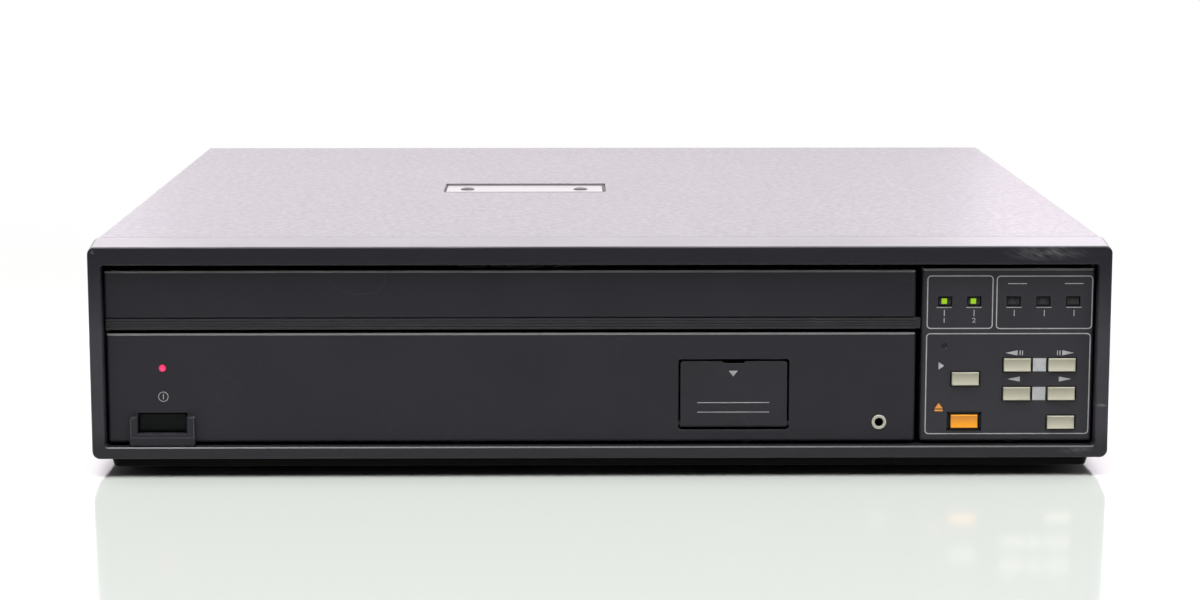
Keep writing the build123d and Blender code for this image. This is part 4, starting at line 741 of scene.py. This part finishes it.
# Key caps with a dished face and soft edges, each on its own body
keyCap = {"width": 11.1, "height": 5.35, "proud": 1.2, "back": 3.5, "edge": 0.3, "dish": 0.5, "cuts": 11,
          "flange": (1.6, 1.2), "flangeDepth": (2.9, 3.9), "flangeEdge": 0.15, "stem": 1.1, "stemEdge": 0.2,
          "stemEnd": -190.8, "shadeFrom": 2.8}
keyPlaces = {"play_key": (151.0, 40.6), "reject_key": (150.8, 22.7), "step_reverse_key": (172.4, 46.4),
             "step_forward_key": (190.9, 46.4), "scan_reverse_key": (172.4, 34.3),
             "scan_forward_key": (190.9, 34.3), "display_key": (190.9, 22.2)}
for name, (x, z) in keyPlaces.items():
    bm = bmesh.new()
    low = ((x - keyCap["width"] / 2) * mm, panelFace - keyCap["proud"] * mm, (z - keyCap["height"] / 2) * mm)
    high = ((x + keyCap["width"] / 2) * mm, panelFace + keyCap["back"] * mm, (z + keyCap["height"] / 2) * mm)
    block(bm, low, high)
    upward = [e for e in bm.edges if abs(e.verts[0].co.z - e.verts[1].co.z) > 1e-4]
    bmesh.ops.subdivide_edges(bm, edges=upward, cuts=keyCap["cuts"], use_grid_fill=True)
    frontVerts = [v for v in bm.verts if abs(v.co.y - low[1]) < 1e-7]
    for v in frontVerts:
        share = (v.co.z - z * mm) / (keyCap["height"] * mm / 2)
        v.co.y += keyCap["dish"] * mm * (1.0 - share * share)
    rim = [e for e in bm.edges if all(v in frontVerts for v in e.verts) and not e.is_boundary
           and any(abs(f.normal.y) < 0.5 for f in e.link_faces)]
    roundEdges(bm, rim, keyCap["edge"] * mm, 3)
    (wide, tall), (near, far), stem = keyCap["flange"], keyCap["flangeDepth"], keyCap["stem"]
    block(bm, (low[0] - wide * mm, panelFace + near * mm, low[2] - tall * mm),
          (high[0] + wide * mm, panelFace + far * mm, high[2] + tall * mm), keyCap["flangeEdge"] * mm, 1)
    block(bm, ((x - stem) * mm, panelFace + far * mm, (z - stem) * mm),
          ((x + stem) * mm, keyCap["stemEnd"] * mm, (z + stem) * mm), keyCap["stemEdge"] * mm, 1)
    for face in bm.faces:  # painted shade: the parts behind the panel take the black finish, as they lie in shade
        face.material_index = int(face.calc_center_median().y > panelFace + keyCap["shadeFrom"] * mm)
    finish, slotName = ("reject", "orange_plastic") if name == "reject_key" else ("key", "key_plastic")
    cap = keepPiece(name + "_cap", bm, finishes[finish], name)
    cap.data.materials.append(finishes["black"])
    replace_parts(cap, name)

# Pale bridges between the paired keys; painted shade as dark lines round the key openings
bridgeSet = {"rows": (46.4, 34.3), "across": (178.95, 184.35), "half": 2.75}
bm = bmesh.new()
for z in bridgeSet["rows"]:
    inkBar(bm, bridgeSet["across"], (z - bridgeSet["half"], z + bridgeSet["half"]))
bridgeInk = printFinish("lavender ink", {"colour": (0.44, 0.44, 0.45), "worn": 0.2})
keepPiece("key_bridges", bm, bridgeInk, "player")
# painted shade: dark lines round the key openings, where the gaps lie in shade
keyGapShadeSet = {"reject": ((143.6, 158.1), (18.7, 26.7), 1.2, 0.4), "opening": (11.8, 5.6), "line": 0.38,
               "corner": 0.3}
bm = bmesh.new()
inkBox(bm, *keyGapShadeSet["reject"])
for name, middle in keyPlaces.items():
    if name != "reject_key":
        reach = [size / 2 + keyGapShadeSet["line"] for size in keyGapShadeSet["opening"]]
        across, up = ([m + s * r for s in (-1, 1)] for m, r in zip(middle, reach))
        inkBox(bm, across, up, keyGapShadeSet["line"], keyGapShadeSet["corner"])
keepPiece("key_gap_shade", bm, finishes["black"], "player")
print("key caps made")

# Lamp windows: smoked lenses, lit squares behind two of them
windowSet = {"places": (142.1, 154.1, 170.4, 182.7, 195.0), "z": 73.0, "width": 5.2, "height": 3.5,
             "depth": 0.7, "back": -187.6, "edge": 0.12, "lit": 2, "faceHalf": 1.15, "faceShift": 0.3,
             "faceDepth": (0.5, 1.2), "faceEdge": 0.15}
lockSet = {"place": (142.0, 54.3), "radius": 1.2, "depth": 0.6, "length": 8.0}
smokedLook = {"colour": (0.0225, 0.0210, 0.0245), "rough": 0.26, "grain": 1500.0, "depth": 0.000002,
              "wear": 0.1, "worn": (0.05, 0.05, 0.05), "dust": 0.0, "scratch": 0.05,
              "shader": {"Specular IOR Level": 0.25}}
smoked = mouldedFinish("smoked lens", smokedLook)
bm = bmesh.new()
for x in windowSet["places"]:
    low = ((x - windowSet["width"] / 2) * mm, panelFace + windowSet["depth"] * mm,
           (windowSet["z"] - windowSet["height"] / 2) * mm)
    high = ((x + windowSet["width"] / 2) * mm, windowSet["back"] * mm,
            (windowSet["z"] + windowSet["height"] / 2) * mm)
    block(bm, low, high, windowSet["edge"] * mm, 2)
lockPlace = Matrix.Translation((lockSet["place"][0] * mm, panelFace + lockSet["depth"] * mm,
                                lockSet["place"][1] * mm))
made = bmesh.ops.create_circle(bm, cap_ends=True, segments=24, radius=lockSet["radius"] * mm,
                               matrix=lockPlace @ Matrix.Rotation(math.radians(90), 4, "X"))
pushBack(bm, {f for v in made["verts"] for f in v.link_faces}, lockSet["length"] * mm)
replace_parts(keepPiece("lamp_windows", bm, smoked, "player"), "indicator_lamps")

litLook = {"core": (0.30, 0.52, 0.004), "rim": (0.19, 0.38, 0.002), "reach": 0.0019, "strength": 0.85}
unlitLook = {"colour": (0.0135, 0.0108, 0.0122), "rough": 0.4, "grain": 1500.0, "depth": 0.000002,
             "wear": 0.1, "worn": (0.1, 0.1, 0.1)}
unlit = mouldedFinish("unlit lamp face", unlitLook)
for index, x in enumerate(windowSet["places"]):
    bm = bmesh.new()
    half = windowSet["faceHalf"] * mm
    centre = (x - windowSet["faceShift"]) * mm
    near, far = windowSet["faceDepth"]
    block(bm, (centre - half, panelFace + near * mm, windowSet["z"] * mm - half),
          (centre + half, panelFace + far * mm, windowSet["z"] * mm + half), windowSet["faceEdge"] * mm, 2)
    lit = index < windowSet["lit"]
    if lit:
        litLook["centre"] = (centre, 0.0, windowSet["z"] * mm)
    keepPiece(f"lamp_face_{index + 1}", bm, glowFinish(f"green lamp {index + 1}", litLook) if lit else unlit,
              "player")

# Round power lamp with a domed tip
lampSet = {"place": (-180.9, 45.5),
           "profile": [(0.0, -0.28), (0.6, -0.24), (1.1, -0.08), (1.45, 0.35), (1.45, 5.8), (0.0, 5.8)],
           "steps": 32}
lampLook = {"core": (1.0, 0.070, 0.31), "rim": (0.72, 0.012, 0.045), "reach": 0.0015, "strength": 1.05,
            "centre": (lampSet["place"][0] * mm, 0.0, lampSet["place"][1] * mm)}
bm = bmesh.new()
lathe(bm, lampSet["place"], lampSet["profile"], lampSet["steps"], False)
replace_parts(keepPiece("power_lamp_dome", bm, glowFinish("red lamp", lampLook), "player"), "power_lamp")

# Socket ring with a rolled edge, and the black bore behind it
socketSet = {"place": (115.5, 22.4), "steps": (48, 32),
             "ring": [(1.8, 2.4), (1.8, -0.2), (1.95, -0.42), (2.3, -0.5), (2.75, -0.46), (3.0, -0.28),
                      (3.05, -0.02), (2.9, 0.0), (2.9, 2.4)],
             "bore": [(1.79, 0.1), (1.79, 2.5), (4.4, 2.5), (4.4, 15.0), (0.0, 15.0), (0.0, 14.0),
                      (1.6, 14.0), (1.6, 0.1)]}
ringLook = {**nickelLook, "colour": (0.52, 0.50, 0.42), "rough": 0.42, "metal": 0.25}
bm = bmesh.new()
lathe(bm, socketSet["place"], socketSet["ring"], socketSet["steps"][0], True)
keepPiece("socket_ring", bm, metalFinish("pale nickel ring", ringLook), "player")
bm = bmesh.new()
lathe(bm, socketSet["place"], socketSet["bore"], socketSet["steps"][1], True)
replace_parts(keepPiece("socket_body", bm, finishes["black"], "player"), "remote_jack")

# Folded edge of the cover where it meets the moulded front, in the lighter plate paint as a painted highlight
hemHighlightSet = {"across": (-208.5, 208.5), "deep": (-171.1, -170.4), "up": (95.5, 96.45), "bevel": 0.22}
bm = bmesh.new()
slab(bm, **hemHighlightSet)
keepPiece("cover_hem_highlight", bm, finishes["plate"], "player")

# Painted shade in the seam round the access plate, and a painted shadow line along the front of its recess
seamShadeSet = {"outer": ((-73.0, 4.4), (-8.5, 26.5)), "inner": ((-72.2, 3.0), (-7.7, 25.1)),
           "up": (94.92, 95.75), "lip": ((-72.5, 3.9), (-10.3, -8.7), (96.45, 96.52))}
seamShadeLook = {"colour": (0.130, 0.105, 0.110), "rough": 0.7, "grain": 1200.0, "depth": 0.00002, "wear": 0.2,
            "worn": (0.2, 0.18, 0.18), "dust": 0.2, "shader": {"Specular IOR Level": 0.3}}
(left, right), (near, far) = seamShadeSet["outer"]
(innerLeft, innerRight), (innerNear, innerFar) = seamShadeSet["inner"]
bm = bmesh.new()
for x0, x1, y0, y1 in ((left, innerLeft, near, far), (innerRight, right, near, far),
                       (innerLeft, innerRight, near, innerNear),
                       (innerLeft, innerRight, innerFar, far)):
    slab(bm, (x0, x1), (y0, y1), seamShadeSet["up"])
slab(bm, *seamShadeSet["lip"])
keepPiece("access_plate_seam_shade", bm, mouldedFinish("painted seam shade", seamShadeLook), "player")
print("lamps, socket and cover trim made")

# Floor, swept backdrop and lights
stageSet = {"half": 4.5, "back": 2.6, "rise": 3.5, "sweep": 0.8, "floor": (0.605, 0.63, 0.60),
            "gloss": 0.25, "glossRough": 0.10, "whiteFrom": (0.30, 0.70), "aim": (0.0, -0.05, 0.05)}


def stageFinish():  # takes light and a weak reflection in front, shows white behind
    material, tree = emptyMaterial("white sweep")
    diffuse = addNode(tree, "BsdfDiffuse", {"Color": opaque(stageSet["floor"])})
    gloss = addNode(tree, "BsdfGlossy", {"Color": (1.0, 1.0, 1.0, 1.0), "Roughness": stageSet["glossRough"]})
    white = addNode(tree, "Emission", {"Color": (1.0, 1.0, 1.0, 1.0), "Strength": 1.0})
    path = addNode(tree, "LightPath")
    seen = calc(tree, "MAXIMUM", path.outputs["Is Camera Ray"],
                calc(tree, "MAXIMUM", path.outputs["Is Glossy Ray"], path.outputs["Is Transmission Ray"]))
    place = axesOf(tree, objectPlace(tree))
    behind = remap(tree, place["Y"], *stageSet["whiteFrom"])
    floorMix = addNode(tree, "MixShader", {0: stageSet["gloss"]})
    feed(floorMix, 1, diffuse.outputs[0])
    feed(floorMix, 2, gloss.outputs[0])
    whiteMix = addNode(tree, "MixShader", {0: times(tree, seen, behind)})
    feed(whiteMix, 1, floorMix.outputs[0])
    feed(whiteMix, 2, white.outputs[0])
    output = addNode(tree, "OutputMaterial")
    feed(output, "Surface", whiteMix.outputs[0])
    return material


bm = bmesh.new()
half, back = stageSet["half"], stageSet["back"]
outline = ((-half, -half, 0.0), (half, -half, 0.0), (half, back, 0.0), (-half, back, 0.0))
bm.faces.new([bm.verts.new(corner) for corner in outline])
rear = next(e for e in bm.edges if all(v.co.y > 0 for v in e.verts))
risen = bmesh.ops.extrude_edge_only(bm, edges=[rear])
bmesh.ops.translate(bm, verts=[g for g in risen["geom"] if isinstance(g, bmesh.types.BMVert)],
                    vec=(0.0, 0.0, stageSet["rise"]))
corner = next(e for e in bm.edges if all(abs(v.co.y - back) < 1e-6 and v.co.z < 1e-6 for v in e.verts))
roundEdges(bm, [corner], stageSet["sweep"], 12)
sweepMesh = bpy.data.meshes.new("sweep")
bm.to_mesh(sweepMesh)
bm.free()
sweepMesh.shade_smooth()
sweepMesh.materials.append(stageFinish())
sweep = bpy.data.objects.new("sweep", sweepMesh)
scene.collection.objects.link(sweep)

lightSet = {
    "key": {"place": (-0.7, -1.1, 2.5), "size": (1.8, 1.2), "power": 47.0},
    "fill": {"place": (1.1, -1.3, 2.2), "size": (1.4, 1.0), "power": 28.0},
    "top": {"place": (0.0, -0.35, 2.5), "size": (2.6, 1.4), "power": 54.0},
    "glare": {"place": (0.30, 0.70, 0.42), "size": (3.0, 0.50), "power": 3.1, "colour": (1.0, 0.86, 1.0)},
    "glareRight": {"place": (0.38, 0.70, 0.42), "size": (0.26, 0.50), "power": 0.30,
                   "colour": (1.0, 0.86, 1.0)},
    "glareLeft": {"place": (-0.40, 0.70, 0.42), "size": (0.22, 0.50), "power": 0.18,
                  "colour": (1.0, 0.86, 1.0)},
}
for name, values in lightSet.items():
    lamp = bpy.data.lights.new(name, "AREA")
    lamp.shape = "RECTANGLE"
    lamp.size, lamp.size_y = values["size"]
    lamp.energy = values["power"]
    lamp.color = values.get("colour", (1.0, 1.0, 1.0))
    holder = bpy.data.objects.new(name, lamp)
    holder.location = values["place"]
    holder.visible_camera = False
    aim = Vector(stageSet["aim"]) - Vector(values["place"])
    holder.rotation_euler = aim.to_track_quat("-Z", "Y").to_euler()
    scene.collection.objects.link(holder)

# Dim in front and bright behind, so that the cover's paint catches it at a low angle
worldSet = {"turn": (-0.4, 0.6), "front": 0.06, "mirrored": 0.90, "scattered": 0.35}
world = bpy.data.worlds.new("studio")
world.use_nodes = True
scene.world = world
tree = world.node_tree
tree.nodes.clear()
direction = axesOf(tree, addNode(tree, "TexCoord").outputs["Generated"])
behind = remap(tree, direction["Y"], *worldSet["turn"])
path = addNode(tree, "LightPath")
mirrored = times(tree, remap(tree, behind, 0.0, 1.0, worldSet["front"], worldSet["mirrored"]),
                 path.outputs["Is Glossy Ray"])
scattered = remap(tree, behind, 0.0, 1.0, worldSet["front"], worldSet["scattered"])
strength = calc(tree, "MAXIMUM", calc(tree, "MAXIMUM", mirrored, scattered), path.outputs["Is Camera Ray"])
background = addNode(tree, "Background", {"Color": (1.0, 1.0, 1.0, 1.0), "Strength": strength})
output = addNode(tree, "OutputWorld")
feed(output, "Surface", background.outputs[0])
print("stage set")
